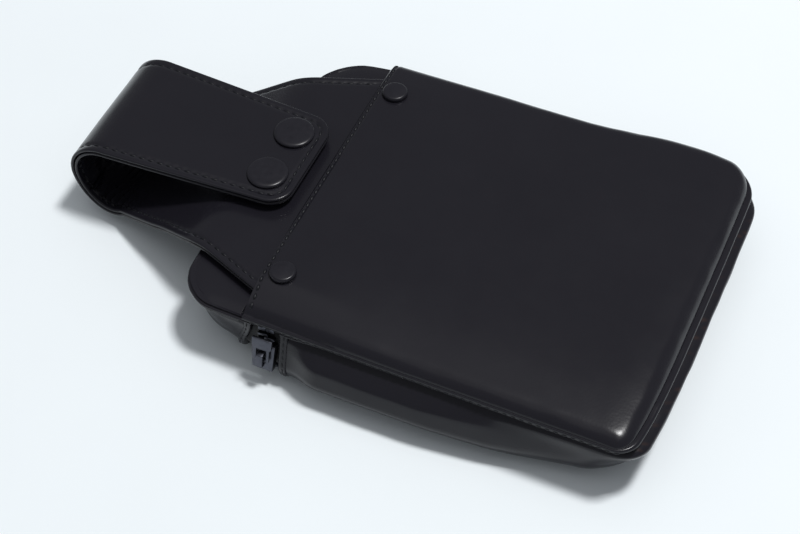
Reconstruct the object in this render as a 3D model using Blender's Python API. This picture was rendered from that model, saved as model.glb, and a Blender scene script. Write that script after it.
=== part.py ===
"""Zipped leather belt case with a snap-closed belt loop.

The case lies on its front face with its back panel up, as it is put down on a table. +X runs from the
belt loop to the bottom of the case, +Y across it and +Z up from the table. Inside this script x = 0 is
the seam where the lid and the belt loop join the back panel; the case frame then centres the whole part.
Lengths are in metres.
"""

import math

import bmesh
import bpy
from mathutils import Matrix, Vector

# Fits between separate pieces
CLEARANCE = 0.0003
SNAP_PLAY = 0.0006

# Case body, measured on the outline of its back
BODY_HALF_WIDTH = 0.0665
BODY_BELOW_SEAM = 0.1430
LID_LENGTH = 0.0290
EDGE_HEIGHT = 0.0250
BACK_CORNER = 0.0150
FRONT_CORNER = 0.0360
ROOM_ROUND = 0.0029
FRONT_SEAM = 0.6
WALL_TILT = math.radians(13)
WALL_TUCK = 0.0006
LEATHER = 0.0018
PANEL_ROLL = 0.0200
ROLL_POWER = 2.2
LID_RISE = 0.0004
LID_ROLL = 0.0080
LID_AIR = 0.0005
PADDING = 0.0030
LINING = 0.0007

# Lap seam, with the strap end riveted under the back panel
LAP = 0.0020
LAP_BEVEL = math.radians(25)
STRAP_TAIL_GAP = 0.0003
ANCHOR_BEYOND_RIVET = 0.0062
RIVET_FROM_SEAM = 0.0058
RIVET_FROM_STRAP_EDGE = 0.0061
RIVET_CAP_RADIUS = 0.0048
RIVET_CAP_HEIGHT = 0.0017
RIVET_PIN_RADIUS = 0.0013
RIVET_TUBE_WALL = 0.0007
RIVET_BASE_RADIUS = 0.0040
RIVET_BASE_THICKNESS = 0.0007
RIVET_DOME_POWER = 0.7

# Belt loop strap, two layers of leather sewn back to back
STRAP_LAYER = 0.00135
STRAP_SIDE_MARGIN = 0.0129
STRAP_BEND_HALF_WIDTH = 0.0258
FLAP_TIP_HALF_WIDTH = 0.0222
FLAP_TIP_RADIUS = 0.0085
FLAP_TIP_FROM_SEAM = 0.0065
BELT_ROOM = 0.0540
LOOP_ABOVE_TABLE = 0.0048
STRAP_DIP_RADIUS = 0.0250
BEND_FOLDS = 3

# Snap fasteners
SNAP_FROM_TIP = 0.0116
SNAP_CAP_SPACE = 0.0066
SNAP_SOCKET_HEIGHT = 0.0014
SNAP_CAP_RADIUS = 0.0075
SNAP_CAP_HEIGHT = 0.0014
SNAP_BARREL_RADIUS = 0.0019
SNAP_HEAD_RADIUS = 0.0026
SNAP_NECK_RADIUS = 0.0021
SNAP_FLANGE_RADIUS = 0.0054
SNAP_FLANGE_THICKNESS = 0.0005
SNAP_SOCKET_WALL = 0.0014
SNAP_POST_RADIUS = 0.0012
SNAP_DOME_POWER = 0.45

# Zip round the side, front and side
ZIP_FROM_SEAM = 0.0080
ZIP_WINDOW = 0.0110
ZIP_TAPE = 0.0008
ZIP_TAPE_TUCK = 0.0030
CHAIN_HALF_WIDTH = 0.0030
TOOTH_HEIGHT = 0.0018
TOOTH_VALLEY = 0.0010
TOOTH_PITCH = 0.0025
ZIP_STOP_LENGTH = 0.0022
SLIDER_HEIGHT = 0.0125
SLIDER_LENGTH = 0.0110
SLIDER_PLATE = 0.0010
SLIDER_FLANGE = 0.0011
SLIDER_TAPER = 0.0005
BRIDGE_WIDTH = 0.0024
BRIDGE_LENGTH = 0.0064
BRIDGE_LEG = 0.0012
BRIDGE_TOP = 0.0008
PULL_THICKNESS = 0.0011
PULL_HALF_WIDTH = 0.0038
PULL_ARM = 0.0012
PULL_TAB = 0.0046
PULL_PLAY = 0.0012

CORNER_STEPS = 8
ROUND_STEPS = 5
FOLD_STEPS = 3
ROLL_STEPS = 6
LID_ROLL_STEPS = 2
DOME_STEPS = 6
TURNED_STEPS = 28

# Heights and places worked out from the sizes above
WALL_TOP = EDGE_HEIGHT - CLEARANCE
STRAP_THICKNESS = 2 * STRAP_LAYER + CLEARANCE
PADDING_DEPTH = LEATHER + CLEARANCE
LINING_DEPTH = PADDING_DEPTH + PADDING + CLEARANCE
FRONT_ROUND = LINING_DEPTH + LINING + ROOM_ROUND
WALL_FOOT = FRONT_ROUND * (1 + math.sin(WALL_TILT))
ROUND_CENTRE = (
    (WALL_TOP - WALL_FOOT) * math.tan(WALL_TILT) - WALL_TUCK - FRONT_ROUND * math.cos(WALL_TILT)
)
TAPE_DEPTH = LEATHER + CLEARANCE
CHAIN_DEPTH = TAPE_DEPTH - CLEARANCE
ZIP_TOP = WALL_TOP - CLEARANCE
LID_TOP = EDGE_HEIGHT + LID_RISE
LID_WALL_TOP = EDGE_HEIGHT - LEATHER - CLEARANCE
LID_LINING_TOP = LID_TOP - LEATHER - CLEARANCE
STRAP_UNDERSIDE = LID_TOP + LID_AIR + SNAP_FLANGE_THICKNESS + CLEARANCE
STRAP_MIDDLE = STRAP_UNDERSIDE + STRAP_THICKNESS / 2
STRAP_TOP = STRAP_UNDERSIDE + STRAP_THICKNESS
STRAP_SEAM_HALF_WIDTH = BODY_HALF_WIDTH - STRAP_SIDE_MARGIN


def rolled_share(inset, roll):
    """Share of a panel's crown that its rolled edge has reached at a distance in from that edge."""
    share = min(max(inset / roll, 0.0), 1.0)
    return (1 - (1 - share) ** ROLL_POWER) ** (1 / ROLL_POWER)


# The back panel's crown is as high as the strap that it laps over.
PANEL_RISE = LEATHER + (STRAP_TOP + CLEARANCE - EDGE_HEIGHT) / rolled_share(
    STRAP_SIDE_MARGIN - LEATHER, PANEL_ROLL - LEATHER
)
PANEL_TOP = EDGE_HEIGHT + PANEL_RISE

SNAP_GAP = SNAP_FLANGE_THICKNESS + SNAP_SOCKET_HEIGHT + 3 * CLEARANCE
FLAP_UNDERSIDE = STRAP_TOP + SNAP_GAP
FLAP_MIDDLE = FLAP_UNDERSIDE + STRAP_THICKNESS / 2
FLAP_TOP = FLAP_UNDERSIDE + STRAP_THICKNESS
SNAP_FROM_SEAM = FLAP_TIP_FROM_SEAM + SNAP_FROM_TIP
SNAP_SPREAD = SNAP_CAP_RADIUS + SNAP_CAP_SPACE / 2
STRAP_FLAT_LENGTH = SNAP_FROM_SEAM + SNAP_FLANGE_RADIUS + CLEARANCE
BEND_RADIUS = (FLAP_MIDDLE - LOOP_ABOVE_TABLE - STRAP_THICKNESS / 2) / 2
BEND_CENTRE = Vector((-STRAP_FLAT_LENGTH - BELT_ROOM, 0, FLAP_MIDDLE - BEND_RADIUS))
LOOP_END_X = BEND_CENTRE.x - BEND_RADIUS - STRAP_THICKNESS / 2

RIVET_SPREAD = STRAP_SEAM_HALF_WIDTH - RIVET_FROM_STRAP_EDGE
RIVET_BASE_TOP = STRAP_UNDERSIDE - CLEARANCE
RIVET_HOLE_RADIUS = RIVET_PIN_RADIUS + CLEARANCE + RIVET_TUBE_WALL + CLEARANCE
ANCHOR_LENGTH = RIVET_FROM_SEAM + RIVET_BASE_RADIUS + ANCHOR_BEYOND_RIVET
LINING_TOP = RIVET_BASE_TOP - RIVET_BASE_THICKNESS - CLEARANCE
HINGE = Vector((-LAP, 0, STRAP_TOP + CLEARANCE / 2))

ZIP_EDGE = ZIP_WINDOW / 2
SLIDER_TOP = CLEARANCE + SLIDER_PLATE
BRIDGE_HEIGHT = BRIDGE_TOP + math.sqrt(2) * PULL_THICKNESS + CLEARANCE
BRIDGE_CROWN = SLIDER_TOP + CLEARANCE + BRIDGE_HEIGHT
BRIDGE_SHOULDER = (BRIDGE_LENGTH - BRIDGE_LEG) / 2
PULL_EYE = BRIDGE_LENGTH / 2 + PULL_PLAY
PULL_LENGTH = PULL_EYE + PULL_TAB
WALL_OUTSET = ROUND_CENTRE + FRONT_ROUND
FAR = BODY_BELOW_SEAM - LOOP_END_X


def clear_scene():
    for item in list(bpy.data.objects):
        bpy.data.objects.remove(item, do_unlink=True)


def material(name, colour, roughness, metallic=0.0):
    made = bpy.data.materials.new(name)
    made.use_nodes = True
    shader = made.node_tree.nodes["Principled BSDF"]
    shader.inputs["Base Color"].default_value = (*colour, 1)
    shader.inputs["Roughness"].default_value = roughness
    shader.inputs["Metallic"].default_value = metallic
    return made


def frame(name, place, parent=None, tilt=0.0):
    """An empty that carries pieces. Its place is in its parent's frame."""
    empty = bpy.data.objects.new(name, None)
    empty.empty_display_size = 0.01
    empty.location = place
    empty.rotation_euler.x = tilt
    empty.parent = parent
    bpy.context.collection.objects.link(empty)
    return empty


def add_piece(name, mesh, finish, carrier, origin):
    """A sub-part on its carrier. Its mesh is drawn in a frame whose origin the carrier has at this place."""
    data = bpy.data.meshes.new(name)
    bmesh.ops.recalc_face_normals(mesh, faces=mesh.faces)
    mesh.to_mesh(data)
    mesh.free()
    data.shade_smooth()
    data.set_sharp_from_angle(angle=math.radians(35))
    data.materials.append(finish)
    piece = bpy.data.objects.new(name, data)
    piece.parent = carrier
    piece.location = -Vector(origin)
    bpy.context.collection.objects.link(piece)
    return piece


def add_cutter(name, mesh, carrier):
    data = bpy.data.meshes.new(name)
    bmesh.ops.recalc_face_normals(mesh, faces=mesh.faces)
    mesh.to_mesh(data)
    mesh.free()
    cutter = bpy.data.objects.new(name, data)
    cutter.parent = carrier
    cutter.hide_render = True
    cutter.display_type = "WIRE"
    bpy.context.collection.objects.link(cutter)
    return cutter


def cut(piece, cutter):
    boolean = piece.modifiers.new("cut " + cutter.name, "BOOLEAN")
    boolean.operation = "DIFFERENCE"
    boolean.object = cutter


def loft(rings, closed=False):
    """Skin over rings of equal point count: capped at both ends, or closed back on itself."""
    mesh = bmesh.new()
    loops = [[mesh.verts.new(point) for point in ring] for ring in rings]
    pairs = list(zip(loops, loops[1:]))
    if closed:
        pairs.append((loops[-1], loops[0]))
    for here, there in pairs:
        for i in range(len(here)):
            j = (i + 1) % len(here)
            mesh.faces.new((here[i], here[j], there[j], there[i]))
    if not closed:
        mesh.faces.new(reversed(loops[0]))
        mesh.faces.new(loops[-1])
    return mesh


def prism(points, low, high, axes):
    """A flat outline pushed from low to high along the third of the named axes."""
    across, along, through = axes

    def place(point, level):
        spot = Vector((0, 0, 0))
        spot[across] = point[0]
        spot[along] = point[1]
        spot[through] = level
        return spot

    return loft([[place(point, low) for point in points], [place(point, high) for point in points]])


def box(low, high):
    mesh = bmesh.new()
    size = Vector(high) - Vector(low)
    place = Matrix.Translation((Vector(high) + Vector(low)) / 2) @ Matrix.Diagonal((*size, 1))
    bmesh.ops.create_cube(mesh, size=1, matrix=place)
    return mesh


def turned(profile, centre):
    """A profile of (radius, height) spun round a vertical axis through the centre."""
    mesh = bmesh.new()
    points = [mesh.verts.new((radius, 0, height)) for radius, height in profile]
    edges = [mesh.edges.new(pair) for pair in zip(points, points[1:])]
    if profile[0][0] > 0:
        edges.append(mesh.edges.new((points[-1], points[0])))
    bmesh.ops.spin(
        mesh, geom=points + edges, cent=(0, 0, 0), axis=(0, 0, 1), angle=math.tau, steps=TURNED_STEPS
    )
    bmesh.ops.remove_doubles(mesh, verts=mesh.verts, dist=1e-6)
    bmesh.ops.translate(mesh, verts=mesh.verts, vec=centre)
    return mesh


def dome(radius, rise, seat, power):
    """Profile of a cap from its crown down to its rim: a lower power gives a flatter top."""
    profile = [(0, seat + rise)]
    for step in range(1, DOME_STEPS):
        angle = math.radians(90) * step / DOME_STEPS
        profile.append((radius * math.sin(angle), seat + rise * math.cos(angle) ** power))
    profile.append((radius, seat))
    return profile


def pins(radius, low, high, centres):
    """Upright cylinders for drilling, one at each centre."""
    mesh = bmesh.new()
    for x, y in centres:
        place = Matrix.Translation((x, y, (low + high) / 2))
        bmesh.ops.create_cone(
            mesh,
            cap_ends=True,
            segments=TURNED_STEPS,
            radius1=radius,
            radius2=radius,
            depth=high - low,
            matrix=place,
        )
    return mesh


def rolled_height(inset, roll, rise):
    return EDGE_HEIGHT + rise * rolled_share(inset, roll)


def panel_underside(inset):
    return rolled_height(inset - LEATHER, PANEL_ROLL - LEATHER, PANEL_RISE - LEATHER)


def outline(outset, height, radius, left=-LID_LENGTH):
    """The case's rounded outline in plan, moved out from the back panel's edge."""
    low_x = left - outset
    high_x = BODY_BELOW_SEAM + outset
    half = BODY_HALF_WIDTH + outset
    corners = ((high_x, -half), (high_x, half), (low_x, half), (low_x, -half))
    points = []
    for quarter, (x, y) in enumerate(corners):
        in_x = math.copysign(radius, x - (low_x + high_x) / 2)
        centre = Vector((x - in_x, y - math.copysign(radius, y), 0))
        for step in range(CORNER_STEPS + 1):
            angle = math.radians(90) * (quarter - 1 + step / CORNER_STEPS)
            points.append(centre + Vector((radius * math.cos(angle), radius * math.sin(angle), height)))
    return points


def wall_corner(height):
    """Corner radius of the side wall, from the back's tight corners to the front's wide ones."""
    share = (height - WALL_FOOT) / (WALL_TOP - WALL_FOOT)
    return FRONT_CORNER + (BACK_CORNER - FRONT_CORNER) * share


def wall_place(height, depth):
    """How far the straight side wall stands out at a height, at a depth below its face."""
    foot = FRONT_ROUND + (FRONT_ROUND - depth) * math.sin(WALL_TILT)
    reach = ROUND_CENTRE + (FRONT_ROUND - depth) * math.cos(WALL_TILT)
    return reach - (height - foot) * math.tan(WALL_TILT)


def round_place(share, depth):
    """Outset and height on the round from the side wall (0) to the flat front (1)."""
    angle = -WALL_TILT + share * (math.radians(90) + WALL_TILT)
    reach = FRONT_ROUND - depth
    return ROUND_CENTRE + reach * math.cos(angle), FRONT_ROUND - reach * math.sin(angle)


def wall_ring(height, depth):
    return outline(wall_place(height, depth), height, wall_corner(height) - depth)


def round_ring(share, depth):
    outset, height = round_place(share, depth)
    widest = round_place(0, depth)[0]
    return outline(outset, height, FRONT_CORNER - depth - max(widest - outset, 0))


def tray_rings(top, depth, start=0.0, end=1.0):
    """Rings down the side wall from its top, if there is one, and round on to the front."""
    rings = []
    if top is not None:
        foot = round_place(0, depth)[1]
        rings = [wall_ring(top, depth), wall_ring((top + foot) / 2, depth)]
    for step in range(ROUND_STEPS + 1):
        rings.append(round_ring(start + (end - start) * step / ROUND_STEPS, depth))
    return rings


def tray(top, depth, thickness):
    """An open tray of side wall and front, of even thickness."""
    return loft(tray_rings(top, depth)[::-1] + tray_rings(top, depth + thickness))


def crowned_panel():
    """The back panel: leather whose edges roll down to the side wall, drawn past the seam at its head."""
    head = -LID_LENGTH - PANEL_ROLL
    outer = []
    inner = []
    for step in range(ROLL_STEPS + 1):
        share = 1 - math.cos(math.radians(90) * step / ROLL_STEPS)
        inset = PANEL_ROLL * share
        height = rolled_height(inset, PANEL_ROLL, PANEL_RISE)
        outer.append(outline(-inset, height, max(BACK_CORNER - inset, LEATHER), head))
        inset = LEATHER + (PANEL_ROLL - LEATHER) * share
        inner.append(outline(-inset, panel_underside(inset), max(BACK_CORNER - inset, LEATHER), head))
    return loft(outer[::-1] + inner)


def lid_panel():
    """The lid's back: flat leather with a slight roll at its edge."""
    outer = []
    inner = []
    for step in range(LID_ROLL_STEPS + 1):
        inset = LID_ROLL * step / LID_ROLL_STEPS
        height = rolled_height(inset, LID_ROLL, LID_RISE)
        outer.append(outline(-inset, height, BACK_CORNER - inset))
        inner.append(outline(-inset, height - LEATHER, BACK_CORNER - inset))
    return loft(outer[::-1] + inner)


def strap_path():
    """The strap's runs, each a list of stations (place, inward normal, half width), and its fold lines.

    The bend opens at evenly spaced fold lines, so it is cut there: the first piece of it belongs to the
    strap's root and the last to its flap.
    """
    dip_centre = Vector((-STRAP_FLAT_LENGTH, 0, STRAP_MIDDLE - STRAP_DIP_RADIUS))
    apart = dip_centre - BEND_CENTRE
    slope = math.asin((STRAP_DIP_RADIUS + BEND_RADIUS) / math.hypot(apart.x, apart.z))
    slope -= math.atan2(-apart.z, apart.x)
    turn = math.pi + slope
    gap = CLEARANCE / (BEND_RADIUS * turn)

    def normal(angle):
        return Vector((-math.sin(angle), 0, math.cos(angle)))

    def bend_station(share):
        inward = normal(slope - turn * share)
        return BEND_CENTRE - BEND_RADIUS * inward, inward, STRAP_BEND_HALF_WIDTH

    def bend_run(first, last, steps):
        return [bend_station(first + (last - first) * step / steps) for step in range(steps + 1)]

    def root_half_width(x):
        share = x / (BEND_CENTRE.x + BEND_RADIUS * math.sin(slope))
        return STRAP_SEAM_HALF_WIDTH + (STRAP_BEND_HALF_WIDTH - STRAP_SEAM_HALF_WIDTH) * share

    folds = [(fold + 0.5) / BEND_FOLDS for fold in range(BEND_FOLDS)]
    head = Vector((-STRAP_TAIL_GAP, 0, STRAP_MIDDLE))
    root = [(head, normal(0), root_half_width(head.x))]
    for step in range(ROUND_STEPS + 1):
        inward = normal(slope * step / ROUND_STEPS)
        place = dip_centre + STRAP_DIP_RADIUS * inward
        root.append((place, inward, root_half_width(place.x)))
    root += bend_run(0, folds[0] - gap / 2, FOLD_STEPS)

    bends = []
    for first, last in zip(folds, folds[1:]):
        bends.append(bend_run(first + gap / 2, last - gap / 2, 2 * FOLD_STEPS))

    flap = bend_run(folds[-1] + gap / 2, 1, FOLD_STEPS)
    flap_start, level, _ = flap[-1]
    tip = -FLAP_TIP_FROM_SEAM
    taper = (STRAP_BEND_HALF_WIDTH - FLAP_TIP_HALF_WIDTH) / (tip - flap_start.x)
    for step in range(ROUND_STEPS + 2):
        angle = math.radians(90) * step / (ROUND_STEPS + 1)
        x = tip - FLAP_TIP_RADIUS * (1 - math.sin(angle))
        half = STRAP_BEND_HALF_WIDTH - taper * (x - flap_start.x)
        half -= FLAP_TIP_RADIUS * (1 - math.cos(angle))
        flap.append((Vector((x, 0, FLAP_MIDDLE)), level, half))
    return [root, *bends, flap], [bend_station(fold)[0] for fold in folds]


def strap_layer(stations, low, high):
    """One leather layer along the stations, from low to high along their inward normals."""
    rings = []
    for place, inward, half in stations:
        side = Vector((0, half, 0))
        under = place + low * inward
        over = place + high * inward
        rings.append((under - side, under + side, over + side, over - side))
    return loft(rings)


def zip_section(depth):
    """Places (y, z) and outward normals along the zip, down one side, across the front and up the other."""
    x = ZIP_FROM_SEAM - CHAIN_HALF_WIDTH

    def half_width(outset, radius):
        short = max(-LID_LENGTH - outset + radius - x, 0)
        return BODY_HALF_WIDTH + outset - radius + math.sqrt(radius**2 - short**2)

    half = [(half_width(wall_place(ZIP_TOP, depth), wall_corner(ZIP_TOP) - depth), ZIP_TOP, -WALL_TILT)]
    for step in range(2 * ROUND_STEPS + 1):
        share = step / (2 * ROUND_STEPS)
        outset, height = round_place(share, depth)
        widest = round_place(0, depth)[0]
        radius = FRONT_CORNER - depth - max(widest - outset, 0)
        angle = -WALL_TILT + share * (math.radians(90) + WALL_TILT)
        half.append((half_width(outset, radius), height, angle))
    near = [(Vector((0, -y, z)), Vector((0, -math.cos(a), -math.sin(a)))) for y, z, a in half]
    far = [(Vector((0, y, z)), Vector((0, math.cos(a), -math.sin(a)))) for y, z, a in half]
    return near + far[::-1]


def spaced(section, step, margin):
    """Points at even steps along a section, with margins left bare at both ends."""
    places = [place for place, outward in section]
    lengths = [(b - a).length for a, b in zip(places, places[1:])]
    count = int((sum(lengths) - 2 * margin) / step)
    points = []
    for i in range(count + 1):
        along = margin + i * step
        leg = 0
        while along > lengths[leg]:
            along -= lengths[leg]
            leg += 1
        share = along / lengths[leg]
        outward = section[leg][1].lerp(section[leg + 1][1], share).normalized()
        points.append((places[leg].lerp(places[leg + 1], share), outward))
    return points


def zip_chain(side):
    """Half of the zip's chain: a row of teeth, ribbed along its run. Side is -1 on the lid and +1 below."""
    inner = ZIP_FROM_SEAM + side * CLEARANCE / 2
    outer = ZIP_FROM_SEAM + side * CHAIN_HALF_WIDTH
    margin = ZIP_STOP_LENGTH + 2 * CLEARANCE
    rings = []
    for i, (place, outward) in enumerate(spaced(zip_section(CHAIN_DEPTH), TOOTH_PITCH / 2, margin)):
        crest = TOOTH_HEIGHT if i % 2 == (side > 0) else TOOTH_VALLEY
        top = place + crest * outward
        corners = ((inner, place), (outer, place), (outer, top), (inner, top))
        rings.append([Vector((x, point.y, point.z)) for x, point in corners])
    return loft(rings)


def zip_stop(section_end, low_x, high_x):
    """A small metal stop that closes one end of the chain."""
    (start, outward), (towards, _) = section_end
    run = (towards - start).normalized()
    rings = []
    for place in (start, start + ZIP_STOP_LENGTH * run):
        top = place + TOOTH_HEIGHT * outward
        corners = ((low_x, place), (high_x, place), (high_x, top), (low_x, top))
        rings.append([Vector((x, point.y, point.z)) for x, point in corners])
    return loft(rings)


def leather_tray(wall_top):
    """The wrap-round gusset and the front panel, which meet at a seam on the front's rounded edge."""
    wrap = tray_rings(wall_top, 0, 0, FRONT_SEAM)
    wrap += tray_rings(wall_top, LEATHER, 0, FRONT_SEAM)[::-1]
    seam = FRONT_SEAM + CLEARANCE / ((FRONT_ROUND - LEATHER) * (math.radians(90) + WALL_TILT))
    front = tray_rings(None, 0, seam)[::-1] + tray_rings(None, LEATHER, seam)
    return loft(wrap, closed=True), loft(front)


def lined_room(name, top, carrier, origin, case, finish):
    """A cloth lining round the room inside a tray, still closed at its mouth."""
    lining = add_piece(name, loft(tray_rings(top, LINING_DEPTH)), finish["lining"], carrier, origin)
    room = loft(tray_rings(top - LINING, LINING_DEPTH + LINING))
    cut(lining, add_cutter(name + "_room", room, case))
    return lining


def build_body(case, finish):
    origin = (0, 0, 0)
    zip_right = ZIP_FROM_SEAM + ZIP_EDGE
    tuck_right = zip_right + ZIP_TAPE_TUCK + CLEARANCE
    window = add_cutter("above_zip_edge", box((-FAR, -FAR, -FAR), (zip_right, FAR, FAR)), case)
    mouth = add_cutter("above_zip_tape", box((-FAR, -FAR, -FAR), (tuck_right, FAR, FAR)), case)

    panel = add_piece("back_panel", crowned_panel(), finish["leather"], case, origin)
    slant = FAR * math.tan(LAP_BEVEL)
    lap = [(-FAR, -FAR), (HINGE.x, -FAR), (HINGE.x, HINGE.z)]
    lap += [(HINGE.x + slant, HINGE.z + FAR), (-FAR, HINGE.z + FAR)]
    cut(panel, add_cutter("above_lap", prism(lap, -FAR, FAR, (0, 2, 1)), case))
    rivets = [(RIVET_FROM_SEAM, -RIVET_SPREAD), (RIVET_FROM_SEAM, RIVET_SPREAD)]
    drill = add_cutter("rivet_holes", pins(RIVET_HOLE_RADIUS, 0, 2 * PANEL_TOP, rivets), case)
    cut(panel, drill)

    half = STRAP_SEAM_HALF_WIDTH
    sheet = box((0, -half, STRAP_UNDERSIDE), (ANCHOR_LENGTH, half, STRAP_TOP))
    anchor = add_piece("strap_anchor", sheet, finish["leather"], case, origin)
    cut(anchor, drill)
    for side, (x, y) in zip(("near", "far"), rivets):
        build_rivet(side, (x, y, 0), case, finish)

    rings = [outline(-LINING_DEPTH, LINING_TOP + CLEARANCE, max(BACK_CORNER - LINING_DEPTH, LEATHER))]
    for step in range(ROLL_STEPS + 1):
        inset = LINING_DEPTH + (PANEL_ROLL - LINING_DEPTH) * step / ROLL_STEPS
        height = panel_underside(inset) - CLEARANCE
        rings.append(outline(-inset, height, max(BACK_CORNER - inset, LEATHER)))
    padding = add_piece("back_padding", loft(rings), finish["foam"], case, origin)
    pad_start = ANCHOR_LENGTH + CLEARANCE
    cut(padding, add_cutter("above_padding", box((-FAR, -FAR, -FAR), (pad_start, FAR, FAR)), case))

    wrap, front = leather_tray(WALL_TOP)
    cut(add_piece("gusset", wrap, finish["leather"], case, origin), window)
    cut(add_piece("front_panel", front, finish["leather"], case, origin), window)
    foam = tray(WALL_TOP, PADDING_DEPTH, PADDING)
    cut(add_piece("body_padding", foam, finish["foam"], case, origin), mouth)
    cut(lined_room("body_lining", LINING_TOP, case, origin, case, finish), mouth)


def build_rivet(side, centre, case, finish):
    """A double cap rivet: a domed cap with a pin, closed into a tubed base inside the case."""
    seat = PANEL_TOP + CLEARANCE
    pin_end = RIVET_BASE_TOP + CLEARANCE
    cap = dome(RIVET_CAP_RADIUS, RIVET_CAP_HEIGHT, seat, RIVET_DOME_POWER)
    cap += [(RIVET_PIN_RADIUS, seat), (RIVET_PIN_RADIUS, pin_end), (0, pin_end)]
    add_piece("rivet_cap_" + side, turned(cap, centre), finish["snap"], case, (0, 0, 0))
    bore = RIVET_PIN_RADIUS + CLEARANCE
    floor = RIVET_BASE_TOP - RIVET_BASE_THICKNESS
    tube_top = seat - CLEARANCE - LEATHER
    tube = bore + RIVET_TUBE_WALL
    base = [(0, RIVET_BASE_TOP), (bore, RIVET_BASE_TOP), (bore, tube_top), (tube, tube_top)]
    base += [(tube, RIVET_BASE_TOP), (RIVET_BASE_RADIUS, RIVET_BASE_TOP)]
    base += [(RIVET_BASE_RADIUS, floor), (0, floor)]
    add_piece("rivet_base_" + side, turned(base, centre), finish["snap"], case, (0, 0, 0))


def build_lid(hinge, case, finish):
    zip_left = ZIP_FROM_SEAM - ZIP_EDGE
    tuck_left = zip_left - ZIP_TAPE_TUCK - CLEARANCE
    window = add_cutter("below_zip_edge", box((zip_left, -FAR, -FAR), (FAR, FAR, FAR)), case)
    mouth = add_cutter("below_zip_tape", box((tuck_left, -FAR, -FAR), (FAR, FAR, FAR)), case)
    seam = add_cutter("below_lap", box((HINGE.x - CLEARANCE, -FAR, -FAR), (FAR, FAR, FAR)), case)
    under = add_cutter("lid_panel_seat", box((-FAR, -FAR, LID_WALL_TOP), (HINGE.x, FAR, FAR)), case)

    cut(add_piece("lid_back_panel", lid_panel(), finish["leather"], hinge, HINGE), seam)
    wrap, front = leather_tray(WALL_TOP)
    gusset = add_piece("lid_gusset", wrap, finish["leather"], hinge, HINGE)
    cut(gusset, window)
    cut(gusset, under)
    cut(add_piece("lid_front_panel", front, finish["leather"], hinge, HINGE), window)
    foam = tray(LID_LINING_TOP, PADDING_DEPTH, PADDING)
    cut(add_piece("lid_padding", foam, finish["foam"], hinge, HINGE), mouth)
    cut(lined_room("lid_lining", LID_LINING_TOP, hinge, HINGE, case, finish), mouth)


def build_zip(case, hinge, finish):
    middle = ZIP_FROM_SEAM
    reach = ZIP_EDGE + ZIP_TAPE_TUCK
    section = zip_section(CHAIN_DEPTH)
    for name, side, carrier, origin in (("lower", 1, case, Vector((0, 0, 0))), ("upper", -1, hinge, HINGE)):
        strip = tray(ZIP_TOP, TAPE_DEPTH, ZIP_TAPE)
        tape = add_piece("zip_tape_" + name, strip, finish["tape"], carrier, origin)
        near_x = middle + side * CLEARANCE / 2
        far_x = middle + side * reach
        low_x, high_x = sorted((near_x, far_x))
        cut(tape, add_cutter("left_of_tape_" + name, box((-FAR, -FAR, -FAR), (low_x, FAR, FAR)), case))
        cut(tape, add_cutter("right_of_tape_" + name, box((high_x, -FAR, -FAR), (FAR, FAR, FAR)), case))
        add_piece("zip_teeth_" + name, zip_chain(side), finish["zip_teeth"], carrier, origin)
        edge_x = middle + side * CHAIN_HALF_WIDTH
        stop_low, stop_high = sorted((near_x, edge_x))
        stop = zip_stop(section[:2], stop_low, stop_high)
        add_piece("zip_top_stop_" + name, stop, finish["zip_metal"], carrier, origin)
    stop = zip_stop(section[:-3:-1], middle - CHAIN_HALF_WIDTH, middle + CHAIN_HALF_WIDTH)
    add_piece("zip_bottom_stop", stop, finish["zip_metal"], case, (0, 0, 0))


def slider_place():
    """Where the slider's frame sits: on the leather's face at the middle of the zip, on the near side."""
    top = zip_section(0)[0][0]
    return Vector((ZIP_FROM_SEAM, top.y - (ZIP_TOP - SLIDER_HEIGHT) * math.tan(WALL_TILT), SLIDER_HEIGHT))


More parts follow.
